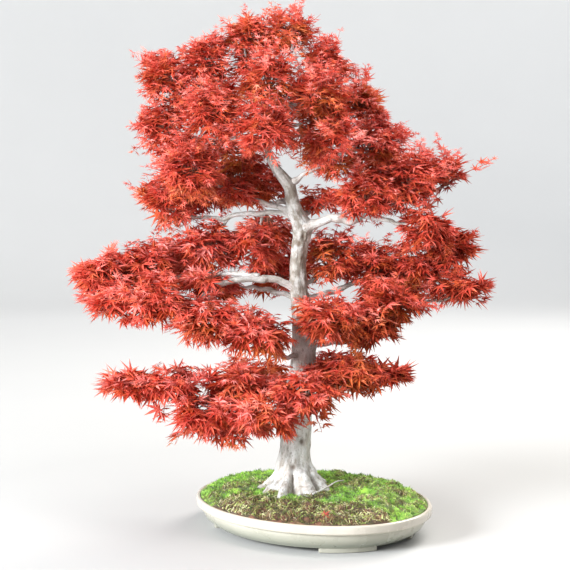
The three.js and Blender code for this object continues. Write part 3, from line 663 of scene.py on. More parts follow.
def leaf_material():
    """Thin coral leaf: redder and darker by the rib, some leaves orange or olive, light showing through. The
    pale pink top of its red is a painted highlight.
    """
    m = Nodes("leaf")
    fate, spread, age = m.tone()
    blotch = m.noise(m.where(), 160.0)
    flush = m.noise(m.where(), 55.0, 2.0)
    # The palest, pinkest stop stands in for the glossy leaves' highlights: a painted highlight.
    red = m.ramp(fate, (0.0, (0.38, 0.030, 0.012)), (0.35, (0.74, 0.088, 0.052)),
                 (0.7, (0.95, 0.195, 0.155)), (1.0, (1.0, 0.40, 0.36)))
    old = m.ramp(fate, (0.0, (0.42, 0.14, 0.02)), (0.5, (0.80, 0.26, 0.04)), (1.0, (0.90, 0.55, 0.10)))
    colour = m.stained(m.mix(age, red, old), (spread, (0.0, 0.55), (0.35, 0.0), (0.85, 0.20, 0.12)),
                       (blotch, (0.35, 0.3), (0.6, 0.0), (0.40, 0.03, 0.016)),
                       (flush, (0.5, 0.0), (0.68, 0.4), (0.88, 0.24, 0.05)))
    m.base(Base_Color=colour, Roughness=m.ramp(blotch, (0.3, 0.6), (0.7, 0.42)), Specular_IOR_Level=0.35)
    m.bump(blotch, 0.0004, 0.4)
    through = m.node("BsdfTranslucent", m.mix(0.5, colour, (1.0, 0.2, 0.08)))
    both = m.node("MixShader", 0.2, m.shader.outputs[0], through.outputs[0])
    m.set(m.tree.nodes["Material Output"].inputs["Surface"], both.outputs[0])
    return m.material


def shoot_material():
    """Young red shoots, paler and browner towards the old wood."""
    m = Nodes("shoot")
    mottle = m.noise(m.where(), 300.0)
    colour = m.ramp(m.tone()[0], (0.0, (0.34, 0.24, 0.17)), (0.45, (0.36, 0.08, 0.05)),
                    (1.0, (0.52, 0.06, 0.05)))
    colour = m.stained(colour, (mottle, (0.4, 0.3), (0.65, 0.0), (0.20, 0.05, 0.03)))
    m.base(Base_Color=colour, Roughness=m.ramp(mottle, (0.3, 0.6), (0.7, 0.45)))
    m.bump(mottle, 0.0002, 0.4)
    return m.material


def moss_material(name):
    """Moss: bright to dark green, with browned patches, and painted shade down between the tufts and in the
    creases between its cushions.
    """
    m = Nodes(name)
    fate, tip, dry = m.tone()
    patch = m.noise(m.where(), 70.0, 4.0)
    speck = m.noise(m.where(), 330.0, 2.0)
    green = m.ramp(fate, (0.0, (0.045, 0.13, 0.014)), (0.4, (0.21, 0.48, 0.035)),
                   (0.75, (0.38, 0.74, 0.065)), (1.0, (0.66, 0.88, 0.16)))
    brown = m.ramp(fate, (0.0, (0.045, 0.016, 0.011)), (0.4, (0.24, 0.095, 0.055)),
                   (0.75, (0.52, 0.38, 0.19)), (1.0, (0.86, 0.82, 0.54)))
    # The second tone lays painted shade: dark at the shoots' feet and in the creases between cushions.
    colour = m.stained(m.mix(dry, green, brown), (patch, (0.38, 0.6), (0.5, 0.0), (0.05, 0.06, 0.012)),
                       (speck, (0.36, 0.8), (0.46, 0.0), (0.045, 0.03, 0.012)),
                       (tip, (0.0, 0.75), (0.6, 0.0), (0.02, 0.028, 0.008)))
    m.base(Base_Color=colour, Roughness=m.ramp(patch, (0.3, 0.95), (0.7, 0.8)), Sheen_Weight=0.15)
    m.bump(m.noise(m.where(), 900.0), 0.0008, 0.8)
    return m.material


def plain_material(name, dark, light, scale, rough, height):
    """An even surface with a light grain, for the soil and the drain screens."""
    m = Nodes(name)
    grain = m.noise(m.where(), scale, 4.0)
    m.base(Base_Color=m.ramp(grain, (0.3, dark), (0.7, light)),
           Roughness=m.ramp(grain, (0.3, rough), (0.7, rough * 0.9)))
    m.bump(grain, height, 0.6)
    return m.material


def floor_material():
    """The studio floor: pale, a little deeper in tone under the lights than on the far sweep."""
    m = Nodes("floor")
    away = m.node("VectorMath", m.where(), operation="LENGTH").outputs["Value"]
    tone = m.ramp(m.math("MULTIPLY", away, 0.2), (0.12, (0.50, 0.50, 0.49)), (0.55, (0.9, 0.9, 0.89)))
    grain = m.noise(m.where(), 3.0, 4.0)
    m.base(Base_Color=m.stained(tone, (grain, (0.3, 0.03), (0.7, 0.0), (0.4, 0.4, 0.4))), Roughness=0.8)
    return m.material


GLAZE = glaze_material()
BARK = bark_material()
LEAF = leaf_material()
SHOOT = shoot_material()
GREEN_MOSS = moss_material("moss_green")
DRY_MOSS = moss_material("moss_dry")
SOIL = plain_material("soil", (0.035, 0.024, 0.015), (0.13, 0.09, 0.055), 450.0, 0.95, 0.0012)
SCREEN = plain_material("screen", (0.012, 0.014, 0.015), (0.03, 0.034, 0.036), 700.0, 0.6, 0.0001)
FLOOR = floor_material()


# Pot

def oval(turn, reach):
    """x and y in the pot frame, at a turn and at a reach that is measured along the pot's long side."""
    return reach * np.cos(turn), reach * np.sin(turn) * POT_OVAL


def oval_reach(x, y):
    """How far out a place is, measured along the pot's long side."""
    return np.hypot(x, y / POT_OVAL)


def pot_profile():
    """The pot's section as (half length, height), from the middle of its underside round to its floor."""
    lip, top, low, floor = POT_HALF_LENGTH, POT_HEIGHT, FOOT_HEIGHT, FLOOR_TOP
    base, body = lip - BASE_INSET, lip - LIP_OVERHANG
    return np.array([
        (0, low), (base * 0.5, low), (base - 6, low),
        *arc((base - 2, low + 3), 3, 270, 325, 4),
        (base + 5.5, low + 4.2), (base + 11, low + 8.4), (body - 2.6, low + 13.6), (body - 0.8, low + 18),
        (body - 0.2, BAND_LOW - 3.4),
        *arc((body + 1.0, BAND_LOW - 1.9), 1.3, 190, 90, 5),
        *arc((lip - 3.2, BAND_LOW + 2.4), 3.2, 285, 360, 6),
        (lip, BAND_LOW + 6),
        *arc((lip - 3.6, top - 3.6), 3.6, 0, 90, 8),
        *arc((lip - 4.6, top - 2.4), 2.4, 92, 170, 5),
        (lip - 10.5, 38.5), (lip - 15, 33), (lip - 18.5, 27), (lip - 22, 21), (lip - 28, 16.3),
        (lip - 36, floor), (base * 0.5, floor), (0, floor),
    ])


def lathe(profile, segments):
    """A closed oval turning of a profile whose first and last points lie on the axis."""
    radius, height = profile[1:-1].T
    x, y = oval(circle(segments), radius[:, None])
    z = np.repeat(height[:, None], segments, axis=1)
    sheet = np.stack([x, y, z], axis=-1).reshape(-1, 3)
    points = np.vstack([sheet, (0, 0, profile[0, 1]), (0, 0, profile[-1, 1])])
    here = np.arange(segments)
    there = (here + 1) % segments
    last = len(sheet) - segments
    low = np.stack([np.full(segments, len(sheet)), there, here], axis=1)
    high = np.stack([np.full(segments, len(sheet) + 1), last + here, last + there], axis=1)
    return points, [wrapped_faces(len(radius), segments), low, high]


def pot_foot(middle):
    """A corner foot: a rounded bar bent along the base, its top sunk into the pot's underside."""
    half = (FOOT_SPAN[1] - FOOT_SPAN[0]) / 2
    outer = POT_HALF_LENGTH - BASE_INSET - 2
    deep, sunk = FOOT_DEPTH, FOOT_HEIGHT + 3
    section = [(0, sunk), (0, 1.6), (0.5, 0.5), (1.6, 0), (deep - 3.6, 0), (deep - 2.5, 0.5),
               (deep - 2, 1.6), (deep - 2, sunk)]
    shares = np.concatenate([[-1, -0.985], np.linspace(-0.97, 0.97, 25), [0.985, 1]])
    points = []
    for share in shares:
        tuck = 1.4 * max(0, (abs(share) - 0.97) / 0.03) ** 2
        turn = math.radians(middle + half * share)
        for inset, height in section:
            pinch = tuck if height <= 1.6 else 0
            radius = outer - inset - pinch * (1 if inset < deep / 2 else -1)
            x, y = radius * math.cos(turn), radius * math.sin(turn) * POT_OVAL
            points.append((x, y, height + pinch * 0.4))
    return np.array(points), [part[:, ::-1] for part in capped_faces(len(shares), len(section))]


def drain_cutter(x):
    """A closed rod that cuts a drain hole."""
    line = np.array([[(x, 0, -FLOOR_TOP), (x, 0, FLOOR_TOP), (x, 0, 3 * FLOOR_TOP)]], float)
    return tubes(line, np.full((1, 3), DRAIN_RADIUS), 40)[:2]


def glaze_tone(points):
    """How thin the glaze is over an edge, how far it pooled in the groove, and how low it is, which sets the
    painted shade low on the body.
    """
    across, height = oval_reach(points[:, 0], points[:, 1]), points[:, 2]
    groove = bell(height, BAND_LOW - 1.2, 1.6) * (across > POT_HALF_LENGTH - 12)
    rim = bell(height, POT_HEIGHT, 1.0) * (across > POT_HALF_LENGTH - LIP_OVERHANG)
    corner = bell(height, BAND_LOW, 1.0) * (across > POT_HALF_LENGTH - 3)
    # Painted shade: from the band down, the body grows darker and greener.
    low = np.clip((BAND_LOW + 1 - height) / 24, 0, 1) ** 0.6
    return np.stack([np.clip(rim + corner, 0, 1) * 0.8, groove, low], axis=1)


def make_pot():
    """The glazed pot with its two drain holes, and its four feet."""
    points, faces = lathe(pot_profile(), POT_SEGMENTS)
    points = points + points * (1, 1, 0) * (0.0012 * noise(points * 0.02, 3))[:, None]
    pot = build("pot_glazed", from_pot(points), faces, [GLAZE], smooth=True)
    points, faces = gathered([drain_cutter(DRAIN_X), drain_cutter(-DRAIN_X)])
    cutter = build("drain_cutter", from_pot(points), faces, [GLAZE])
    cut = pot.modifiers.new("drains", "BOOLEAN")
    cut.operation = "DIFFERENCE"
    cut.solver = "EXACT"
    cut.object = cutter
    bpy.context.view_layer.update()
    finished = bpy.data.meshes.new_from_object(pot.evaluated_get(bpy.context.evaluated_depsgraph_get()))
    pot.modifiers.clear()
    pot.data = finished
    bpy.data.objects.remove(cutter)
    places = np.array([vertex.co for vertex in finished.vertices])
    add_attribute(finished, "tone", glaze_tone((places - POT_CENTRE) / MM))
    settle(pot, "glaze", "pot")

    middle = sum(FOOT_SPAN) / 2
    points, faces = gathered([pot_foot(turn) for turn in (middle, 180 - middle, 180 + middle, -middle)])
    # The feet take the painted shade of the low body.
    feet = build("pot_feet", from_pot(points), faces, [GLAZE], smooth=True, tone=(0, 0, 0.55))
    settle(feet, "glaze")
    for piece in (pot, feet):
        piece.data.set_sharp_from_angle(angle=math.radians(CREASE))


# Ground

def foot_distance(x, y):
    """How far a place in the pot frame is from the tree's foot."""
    return np.hypot(x - TREE_FOOT[0], y - TREE_FOOT[1])


def soil_height(x, y):
    """The soil's top at a place in the pot frame: domed, and falling towards the tree's front."""
    dome = DOME_HEIGHT * (1 - np.minimum(1, oval_reach(x, y) / SOIL_HALF_LENGTH) ** DOME_POWER)
    mound = MOUND_HEIGHT * bell(foot_distance(x, y), 0, MOUND_RADIUS)
    behind = (y - TREE_FOOT[1]) * math.cos(TREE_TURN) - (x - TREE_FOOT[0]) * math.sin(TREE_TURN)
    ripple = 1.1 * np.sin(0.061 * x + 0.9) * np.cos(0.083 * y)
    return SOIL_EDGE_HEIGHT + dome + mound + GROUND_SLOPE * behind + ripple


def edge_share(x, y):
    """0 in the middle of the pot, 1 at the edge of the ground."""
    return oval_reach(x, y) / GROUND_HALF_LENGTH


def on_ground(x, y):
    """Places as rows of x, y and 0, for the noise."""
    return np.stack([x, y, 0 * x], axis=-1)


def dryness(x, y):
    """How far the moss has dried, from 0 to 1: most in front of the border, and in stray patches."""
    place = on_ground(x, y)
    tree = to_tree(from_pot(place))
    border = np.interp(tree[:, 0], *np.transpose(DRY_BORDER), left=-60, right=-400)
    front = 1 / (1 + np.exp((tree[:, 1] - border + 9 * layered_noise(place * 0.05, 11)) / 4))
    stray = np.clip(2.2 * layered_noise(place * 0.045, 17) - 0.6, 0, 0.75)
    patchy = np.clip(0.7 + 0.9 * noise(place * 0.11, 19), 0, 1)
    for middle_x, middle_y, radius, share in BROWNED:
        away = np.hypot(tree[:, 0] - middle_x, tree[:, 1] - middle_y)
        stray = np.maximum(stray, share * bell(away, 0, radius) * patchy)
    return np.clip(np.maximum(front, stray), 0, 1)


def cushion_height(place):
    """The moss cushions' rise over the creases between them, from 0 to 1."""
    return np.clip(1.6 * np.abs(noise(place * 0.085, 8)), 0, 1) ** 0.6


def moss_top(x, y):
    """The moss carpet's surface, in cushions, torn into hollows where it has dried."""
    place = on_ground(x, y)
    cushions = 3.0 * layered_noise(place * 0.05, 5) + 4.6 * cushion_height(place)
    cushions += 1.1 * noise(place * 0.33, 10)
    cushions *= np.interp(foot_distance(x, y), (40, 90), (0.35, 1))
    torn = dryness(x, y) * (6.4 * np.clip(noise(place * 0.085, 9), 0, 1) - 2.2)
    share = edge_share(x, y)
    lumpy = soil_height(x, y) + MOSS_THICKNESS + cushions - torn + 3.4 * bell(share, 0.93, 0.055)
    rim = POT_HEIGHT - 0.6 + 1.6 * noise(place * 0.09, 12)
    return rim + (lumpy - rim) * np.clip((1 - share) / 0.09, 0, 1) ** 0.7


def thickened(points, faces, depth):
    """A closed slab: a sheet of quads with its copy underneath, at a depth for each point."""
    used, faces = np.unique(faces, return_inverse=True)
    faces = faces.reshape(-1, 4)
    top = points[used]
    edges = np.concatenate([faces[:, [i, (i + 1) % 4]] for i in range(4)])
    known = set(map(tuple, edges.tolist()))
    rim = np.array(sorted((a, b) for a, b in known if (b, a) not in known))
    count = len(top)
    walls = np.stack([rim[:, 1], rim[:, 0], rim[:, 0] + count, rim[:, 1] + count], axis=1)
    under = top - np.outer(depth[used], (0, 0, 1))
    return np.vstack([top, under]), [faces, faces[:, ::-1] + count, walls]


def make_carpet():
    """The green and the dried moss, as two slabs that meet along the border."""
    share = np.linspace(0.02, 1, CARPET_RINGS)[:, None] ** 0.8
    x, y = (part.ravel() for part in oval(circle(CARPET_AROUND), GROUND_HALF_LENGTH * share))
    points = np.stack([x, y, moss_top(x, y)], axis=-1)
    depth = np.interp(edge_share(x, y), (0.9, 0.97), (MOSS_THICKNESS, MOSS_EDGE_THICKNESS))
    quads = wrapped_faces(CARPET_RINGS, CARPET_AROUND)
    dry = dryness(x, y)[quads].mean(axis=1) > 0.5
    for name, chosen, material in (("moss_green", ~dry, GREEN_MOSS), ("moss_dry", dry, DRY_MOSS)):
        slab, faces = thickened(points, quads[chosen], depth)
        dried = dryness(slab[:, 0], slab[:, 1])
        fate = np.clip(0.45 - 0.15 * dried + 0.3 * layered_noise(slab * 0.14, 23), 0, 1)
        # How raised a place is sets the painted shade, darkest in the creases between cushions.
        raised = 0.12 + 0.5 * cushion_height(slab * (1, 1, 0)) - 0.1 * dried
        tone = np.stack([fate, raised, dried], axis=1)
        carpet = build(name + "_carpet", from_pot(slab), faces, [material], smooth=True, tone=tone)
        settle(carpet, name, name)


def scattered(count, random):
    """Places spread over the ground, as x and y in the pot frame, clear of the trunk's foot."""
    radius = GROUND_HALF_LENGTH * 0.985 * np.sqrt(random.random(count))
    x, y = oval(2 * math.pi * random.random(count), radius)
    clear = foot_distance(x, y) > BARE_RADIUS
    return x[clear], y[clear]


def make_moss_shoots():
    """Short pointed moss shoots, leaning every way."""
    random = np.random.default_rng(SEED + 1)
    x, y = scattered(MOSS_SHOOTS, random)
    dry = dryness(x, y)
    kept = random.random(len(x)) > 0.8 * dry
    x, y, dry = x[kept], y[kept], dry[kept]
    count = len(x)
    place = on_ground(x, y)
    tall = 2.6 + 2.0 * random.random(count) + 1.0 * noise(place * 0.12, 31)
    foot = np.stack([x, y, moss_top(x, y) - 0.8], axis=-1)
    lean = 0.55 * random.normal(size=(count, 2)) * tall[:, None]
    tips = foot + np.column_stack([lean, tall])
    tips[:, :2] *= np.minimum(1, 0.995 / edge_share(tips[:, 0], tips[:, 1]))[:, None]
    points, faces = spikes(foot, tips, 0.55 + 0.35 * random.random(count))
    fate = 0.30 + 0.20 * random.normal(size=count) + 0.3 * layered_noise(place * 0.05, 37)
    fate = np.clip(fate + 0.42 * cushion_height(place), 0, 1)
    # Painted shade at each shoot's foot, none at its tip.
    height = np.tile([0.35, 0.35, 0.35, 1.0], count)
    tone = np.stack([np.repeat(fate, 4), height, np.repeat(np.clip(dry * 0.8, 0, 1), 4)], axis=1)
    settle(build("moss_tufts", from_pot(points), [faces], [GREEN_MOSS], tone=tone), "moss_green")


def make_moss_strands():
    """Dried moss: brown and straw-coloured strands lying in a loose mat."""
    random = np.random.default_rng(SEED + 2)
    x, y = scattered(7 * MOSS_STRANDS, random)
    kept = random.random(len(x)) < np.clip(dryness(x, y) * 1.1 - 0.18, 0, 1)
    x, y = x[kept][:MOSS_STRANDS], y[kept][:MOSS_STRANDS]
    count = len(x)
    turn = 2 * math.pi * random.random(count)
    length = 4.5 + 6 * random.random(count)
    bend = random.normal(size=count) * 0.7
    hump = 0.6 + 3.0 * random.random(count)
    lines = []
    for share in (0.0, 0.5, 1.0):
        angle = turn + bend * share
        along_x, along_y = x + np.cos(angle) * length * share, y + np.sin(angle) * length * share
        inside = np.minimum(1, 0.985 / np.maximum(edge_share(along_x, along_y), 1e-6))
        along_x, along_y = along_x * inside, along_y * inside
        rise = 0.3 + hump * math.sin(math.pi * share) + 1.6 * share * random.random(count)
        lines.append(np.stack([along_x, along_y, moss_top(along_x, along_y) + rise], axis=-1))
    width = 0.30 + 0.27 * random.random(count)
    points, faces, which, _ = tubes(np.stack(lines, axis=1), np.outer(width, STRAND_TAPER), 3)
    fate = 0.48 + 0.30 * random.normal(size=count) + 0.42 * layered_noise(on_ground(x, y) * 0.06, 29)
    dried = 1 - 0.75 * random.random(count) ** 2
    tone = np.stack([np.clip(fate, 0, 1)[which], np.full(len(points), 0.9), dried[which]], axis=1)
    settle(build("moss_dry_strands", from_pot(points), faces, [DRY_MOSS], tone=tone), "moss_dry")


# Trunk, roots and limbs

def trunk_line():
    """The trunk's middle line with its radius, evenly spaced."""
    return smooth_line([(x, 0, z, radius) for x, z, radius in TRUNK], TRUNK_STEP)


def flare_radius(height, turn):
    """How far the roots and the hollows between them stand out, at a height and a turn."""
    hollow, share = columns(ROOT_FLARE, height)
    count = len(ROOT_REACH)
    wander = 0.10 * np.sin(3 * turn + 1.0) + 0.05 * np.sin(7 * turn)
    at = ((turn + wander) / (2 * math.pi) * count) % count
    nearest = np.round(at).astype(int)
    reach = np.array(ROOT_REACH, float)[nearest % count]
    ridge = np.clip(np.cos(math.pi * np.abs(at - nearest)), 0, 1) ** 1.5
    return hollow + (reach * share - hollow) * ridge


def limb_lines(seats):
    """Every limb as (line, radii, spray): its own line, then up to the seat of the spray that ends it."""
    limbs = []
    for points, radius, spray in LIMBS:
        seat, arrival = seats["spray_" + spray]
        line = smooth_line([*points, seat - SEAT_RUN * arrival, seat], LIMB_STEP)
        share = np.linspace(0, 1, len(line))
        radii = radius + (LIMB_END_RADIUS - radius) * share ** 1.2
        wobble = 1 + 0.10 * noise(line * 0.05, 41)
        gnarl = np.stack([noise(line * 0.074, seed) for seed in (51, 52, 53)], axis=1)
        ease = np.clip(np.minimum(share, 1 - share) * 6, 0, 1)[:, None]
        limbs.append((line + 3.4 * gnarl * ease, radii * wobble, "spray_" + spray))
    return limbs


def seat_of(name, wood):
    """Where a spray's stem stands on the wood, and the way it leaves it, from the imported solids."""
    points = np.array([v.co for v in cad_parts[name].data.vertices])
    gaps = np.array([wood.find_nearest(Vector(point))[3] for point in points])
    near = (gaps > 0) & (gaps < SEAT_GAP)
    seat = to_tree(np.mean(points[near] if near.any() else points[[gaps.argmin()]], axis=0))
    low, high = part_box(name)
    return seat, unit(to_tree(np.array((low + high) / 2)) - seat)


def twig_lines(limbs, seats):
    """Bare twigs to the sprays that no limb ends, each from a limb that is near and runs the same way."""
    ended = {spray for _, _, spray in limbs}
    starts = np.concatenate([line[4:-4] for line, _, _ in limbs])
    ways = np.concatenate([unit(np.gradient(line, axis=0))[4:-4] for line, _, _ in limbs])
    twigs = []
    for name in (spray for spray in SPRAYS if spray not in ended):
        seat, arrival = seats[name]
        way = seat + 18 * arrival - starts
        distance = np.linalg.norm(way, axis=1)
        cost = distance * (TWIG_FORWARD - (way * ways).sum(axis=1) / distance)
        cost += 1e6 * (distance < TWIG_LEAST)
        start = starts[np.argmin(cost)]
        sag = start + 0.5 * (seat - start) - (0, 0, 0.06 * cost.min() / TWIG_FORWARD)
        line = smooth_line([start, sag, seat - SEAT_RUN * arrival, seat], LIMB_STEP)
        share = np.linspace(0, 1, len(line))
        twigs.append((line, TWIG_RADIUS + (LIMB_END_RADIUS - TWIG_RADIUS) * share, name))
    return twigs


def press_scars(points, out, line):
    """Presses the pruning scars into the trunk's points, and returns how dark they leave each."""
    dark = np.zeros(points.shape[:2])
    for z, degrees, size in SCARS:
        row = np.argmin(np.abs(line[:, 2] - z))
        spot = points[row, round(degrees / 360 * TRUNK_SIDES) % TRUNK_SIDES]
        away = np.linalg.norm((points - spot) * (1, 1, 0.75), axis=-1) / size
        points += (0.16 * size * (bell(away, 0.9, 0.35) - 0.9 * bell(away, 0, 0.5)))[..., None] * out
        dark = np.maximum(dark, 0.85 * bell(away, 0, 0.5) + 0.25 * bell(away, 0, 1.2))
    return dark


def swell_collars(points, out, line, radius, limbs):
    """Raises a collar where each limb leaves the trunk, and returns the painted shade in the crease round it.
    """
    dark = np.zeros(points.shape[:2])
    for limb, (thick, *_), _ in limbs:
        way = unit(limb[4] - limb[0])
        base = limb[0] + way * radius[np.argmin(np.linalg.norm(limb[:1] - line, axis=1))] * 0.9
        beside = points - base
        ahead = beside @ way
        off = np.linalg.norm(beside - ahead[..., None] * way, axis=-1) / thick
        facing = np.clip((out @ way), 0, 1)
        swell = 0.95 * thick * bell(off, 0, 1.55) * facing * (np.abs(ahead) < 5 * thick)
        points += swell[..., None] * way
        # Painted shade in the crease round the collar.
        dark = np.maximum(dark, 0.22 * bell(off, 1.5, 0.3) * facing * (np.abs(ahead) < 3 * thick))
    return dark


def trunk_skin(limbs):
    """The trunk's surface: its flare, flutes, scars, and the collars that the limbs grow out of."""
    path = trunk_line()
    line, radius = path[:, :3], path[:, 3]
    along = unit(np.gradient(line, axis=0))
    front = np.tile((0.0, 1.0, 0.0), (len(line), 1))
    right = unit(np.cross(front, along))
    turns = np.repeat(circle(TRUNK_SIDES)[None], len(line), axis=0)
    out = np.cos(turns)[..., None] * right[:, None] + np.sin(turns)[..., None] * front[:, None]
    height, stem = (np.repeat(rows[:, None], TRUNK_SIDES, axis=1) for rows in (line[:, 2], radius))
    flare = flare_radius(height, turns) - np.clip(height - 100, 0, 40) * 0.5
    wide = 0.5 * (stem + flare + np.sqrt((stem - flare) ** 2 + 16))

    def relief(make, seed, reach, across, along):
        """Noise over the bark, with its own number of waves across the wood and along it."""
        places = about_axis(turns, reach, height, across, along).reshape(-1, 3)
        return make(places, seed).reshape(wide.shape)

    ragged = relief(noise, 66, 1, 12.0, 0.05) * rising(height, 84, 54)
    grooves = np.clip(1 - 3.2 * np.abs(relief(noise, 65, wide, 0.13, 0.013)), 0, 1) ** 1.5
    grooves *= np.maximum(rising(height, 150, 80), 0.12)
    flutes = relief(noise, 61, 1, 2.2, 0.012) * np.clip(wide * 0.06, 0, 2.0)
    flutes += 5.4 * relief(noise, 62, 1, 8.0, 0.022) * rising(height, 92, 58)
    flutes += 3.0 * ragged
    flutes += 2.4 * relief(layered_noise, 64, wide, 0.075, 0.07) * np.maximum(rising(height, 100, 60), 0.12)
    flutes += 0.95 * relief(layered_noise, 63, wide, 0.16, 0.035) * np.clip(wide / 12, 0.2, 1)
    flutes -= 1.9 * grooves
    points = line[:, None] + (wide + flutes)[..., None] * out

    # Scars, and painted shade in the creases round the collars.
    scar_and_crease_shade = np.maximum(press_scars(points, out, line), swell_collars(points, out, line, radius, limbs))
    flat = points.reshape(-1, 3)
    stains = noise(flat * 0.07, 71).reshape(wide.shape)
    moss = noise(flat * 0.09, 72).reshape(wide.shape)
    # Dirt in blotches at the foot.
    dirt_and_shade = 0.34 * (rising(height, 68, 42) * np.clip(0.5 + stains, 0, 1))
    # Painted shade in the hollows between the roots.
    dirt_and_shade += 0.38 * (rising(stem * 1.9 - wide, 0, 20) * rising(height, 66, 56))
    # Painted shade in the creases of the flutes and in the grooves, and darker in the ragged valleys at the
    # foot.
    dirt_and_shade += 0.25 * np.clip(-flutes / 2.2, 0, 1) + 0.45 * grooves + 0.55 * np.clip(-2.0 * ragged, 0, 1)
    # Painted shade from the foliage over the upper trunk, and darker towards the bottom.
    dirt_and_shade += 0.95 * rising(height, 190, 340) + 0.24 * rising(height, 116, 60)
    mossy = rising(height, 60, 48) * np.clip(0.2 + moss, 0, 1)
    tone = np.stack([np.clip(scar_and_crease_shade, 0, 0.9), np.clip(dirt_and_shade, 0, 0.95), mossy], axis=-1).reshape(-1, 3)
    return flat, capped_faces(len(line), TRUNK_SIDES), tone, about_axis(turns, wide, height).reshape(-1, 3)


def rod_skin(line, radii, sides, collar):
    """A limb's surface, with a collar where it leaves older wood, buds and slight ridges."""
    length = np.concatenate([[0], np.cumsum(np.linalg.norm(np.diff(line, axis=0), axis=1))])
    buds = 0.22 * np.maximum(0, np.sin(length / 7.5 + 2 * noise(line * 0.03, 81))) ** 8
    wide = radii * (1 + collar * bell(length, 0, 2.6 * radii[0])) * (1 + buds)
    points, faces, _, out = tubes(line[None], wide[None], sides)
    turn = np.tile(circle(sides), len(line))
    around, run, bud, share = (np.repeat(rows, sides) for rows in
                               (wide, length, buds / 0.22, np.linspace(0, 1, len(line))))
    ridges = about_axis(turn, 1, run, 1.8, 0.05) + line[0] * 0.1
    points = points + out * (0.12 * noise(ridges, 82) * around)[:, None]
    dark = np.clip(0.42 + 0.35 * bud + 0.25 * share, 0, 0.7)
    return points, faces, np.outer(dark, (0, 1, 0)), about_axis(turn, around, run) + line[0]


def make_wood(limbs, twigs):
    """The trunk with its roots, limbs and bare twigs, as one piece."""
    skins = [trunk_skin(limbs)]
    skins += [rod_skin(line, radii, LIMB_SIDES, 0.55) for line, radii, _ in limbs]
    skins += [rod_skin(line, radii, TWIG_SIDES, 0.5) for line, radii, _ in twigs]
    points, faces = gathered(skins)
    tone, grain = (np.concatenate([skin[i] for skin in skins]) for i in (2, 3))
    wood = build("trunk_wood", from_tree(points), faces, [BARK], smooth=True, tone=tone, grain=grain)
    settle(wood, "bark", "trunk")


# Leaves

def leaf_template(lobes):
    """A closed leaf of size 1 along +X from its petiole, face up: points, faces and nearness to an edge.
    lobes are (angle in degrees, length, half width) from right to left, and one with no width is a plain
    point between its notches."""
    points = [(0, 0, 0), (0, 0, -LEAF_THICKNESS), (-LEAF_NECK, 0, 0)]
    edge = [0, 0, 1]
    faces = []

    def add(reach, turn, lift, off):
        points.append((reach * math.cos(turn), reach * math.sin(turn), lift))
        edge.append(off)
        return len(points) - 1

    notch = 2
    for i, (angle, length, half) in enumerate(lobes):
        turn = math.radians(angle)
        belly = math.atan2(half, LEAF_BELLY * length)
        wide = math.hypot(half, LEAF_BELLY * length)
        lobe = [(length, turn, 0, 0)]
        if half:
            lobe = [(wide, turn - belly, LEAF_FOLD, 1), *lobe, (wide, turn + belly, LEAF_FOLD, 1)]
        outline = [notch] + [add(*corner) for corner in lobe]
        notch = 2
        if i + 1 < len(lobes):
            between = math.radians((angle + lobes[i + 1][0]) / 2)
            notch = add(LEAF_SINUS * (length + lobes[i + 1][1]) / 2, between, LEAF_FOLD, 1)
        outline.append(notch)
        faces += [(0, a, b) for a, b in zip(outline, outline[1:])]
    return np.array(points), np.array(faces + [(1, b, a) for _, a, b in faces]), np.array(edge, float)


LARGE_LEAF = leaf_template(LOBES)
MIDDLE_LEAF = leaf_template([(angle, length, 0) for angle, length, _ in LOBES])
SMALL_LEAF = leaf_template([(angle, length, 0) for angle, length, _ in LOBES[1:-1]])


def crown_share(name):
    """0 for a spray at the height of the lowest leaves, 1 at the crown's top."""
    return rising(CENTRES[name][2], CROWN_LOW, CROWN_TOP)


def leaf_size(name):
    """The size of a spray's leaves, which are smaller high on the tree."""
    return LEAF_LOW + (LEAF_TOP - LEAF_LOW) * crown_share(name)


def blades(template, feet, ribs, faces_up, sizes, droop, twist):
    """Copies of a leaf template, each at its own foot, midrib, face, size, droop and twist."""
    points, faces, edge = template
    side = unit(np.cross(faces_up, ribs))
    up = np.cross(ribs, side)
    local = np.repeat(points[None], len(feet), axis=0)
    reach = (points[:, 0] ** 2 + points[:, 1] ** 2)[None]
    local[..., 2] += -droop[:, None] * reach + twist[:, None] * (points[:, 0] * points[:, 1])[None]
    placed = sum(local[..., i:i + 1] * axis[:, None] for i, axis in enumerate((ribs, side, up)))
    placed = feet[:, None] + sizes[:, None, None] * placed
    return placed.reshape(-1, 3), copied_faces(faces, len(feet), len(points)), np.tile(edge, len(feet))


def spikes(feet, tips, width):
    """Closed three-sided spikes, which are petioles and moss shoots: points and faces."""
    along = unit(tips - feet)
    side = unit(np.cross(along, along[:, [1, 2, 0]] + (0.3, 0.1, 0.2)))
    other = np.cross(along, side)
    width = np.broadcast_to(width, len(feet))[:, None]
    corners = [feet + width * (side * math.cos(a) + other * math.sin(a)) for a in (0, 2.094, 4.189)]
    points = np.stack([*corners, tips], axis=1).reshape(-1, 3)
    return points, copied_faces(np.array([(0, 1, 3), (1, 2, 3), (2, 0, 3), (0, 2, 1)]), len(feet), 4)


def out_of_outline(points):
    """Under 1 inside the tree's outline, and over 1 beyond it."""
    left, right, depth = columns(OUTLINE, points[:, 2])
    reach = np.where(points[:, 0] > 0, right, left)
    across = (np.abs(points[:, 0]) / reach) ** OUTLINE_POWER
    across += (np.abs(points[:, 1]) / depth) ** OUTLINE_POWER
    return across ** (1 / OUTLINE_POWER) + 0.09 * noise(points * 0.036, 95)


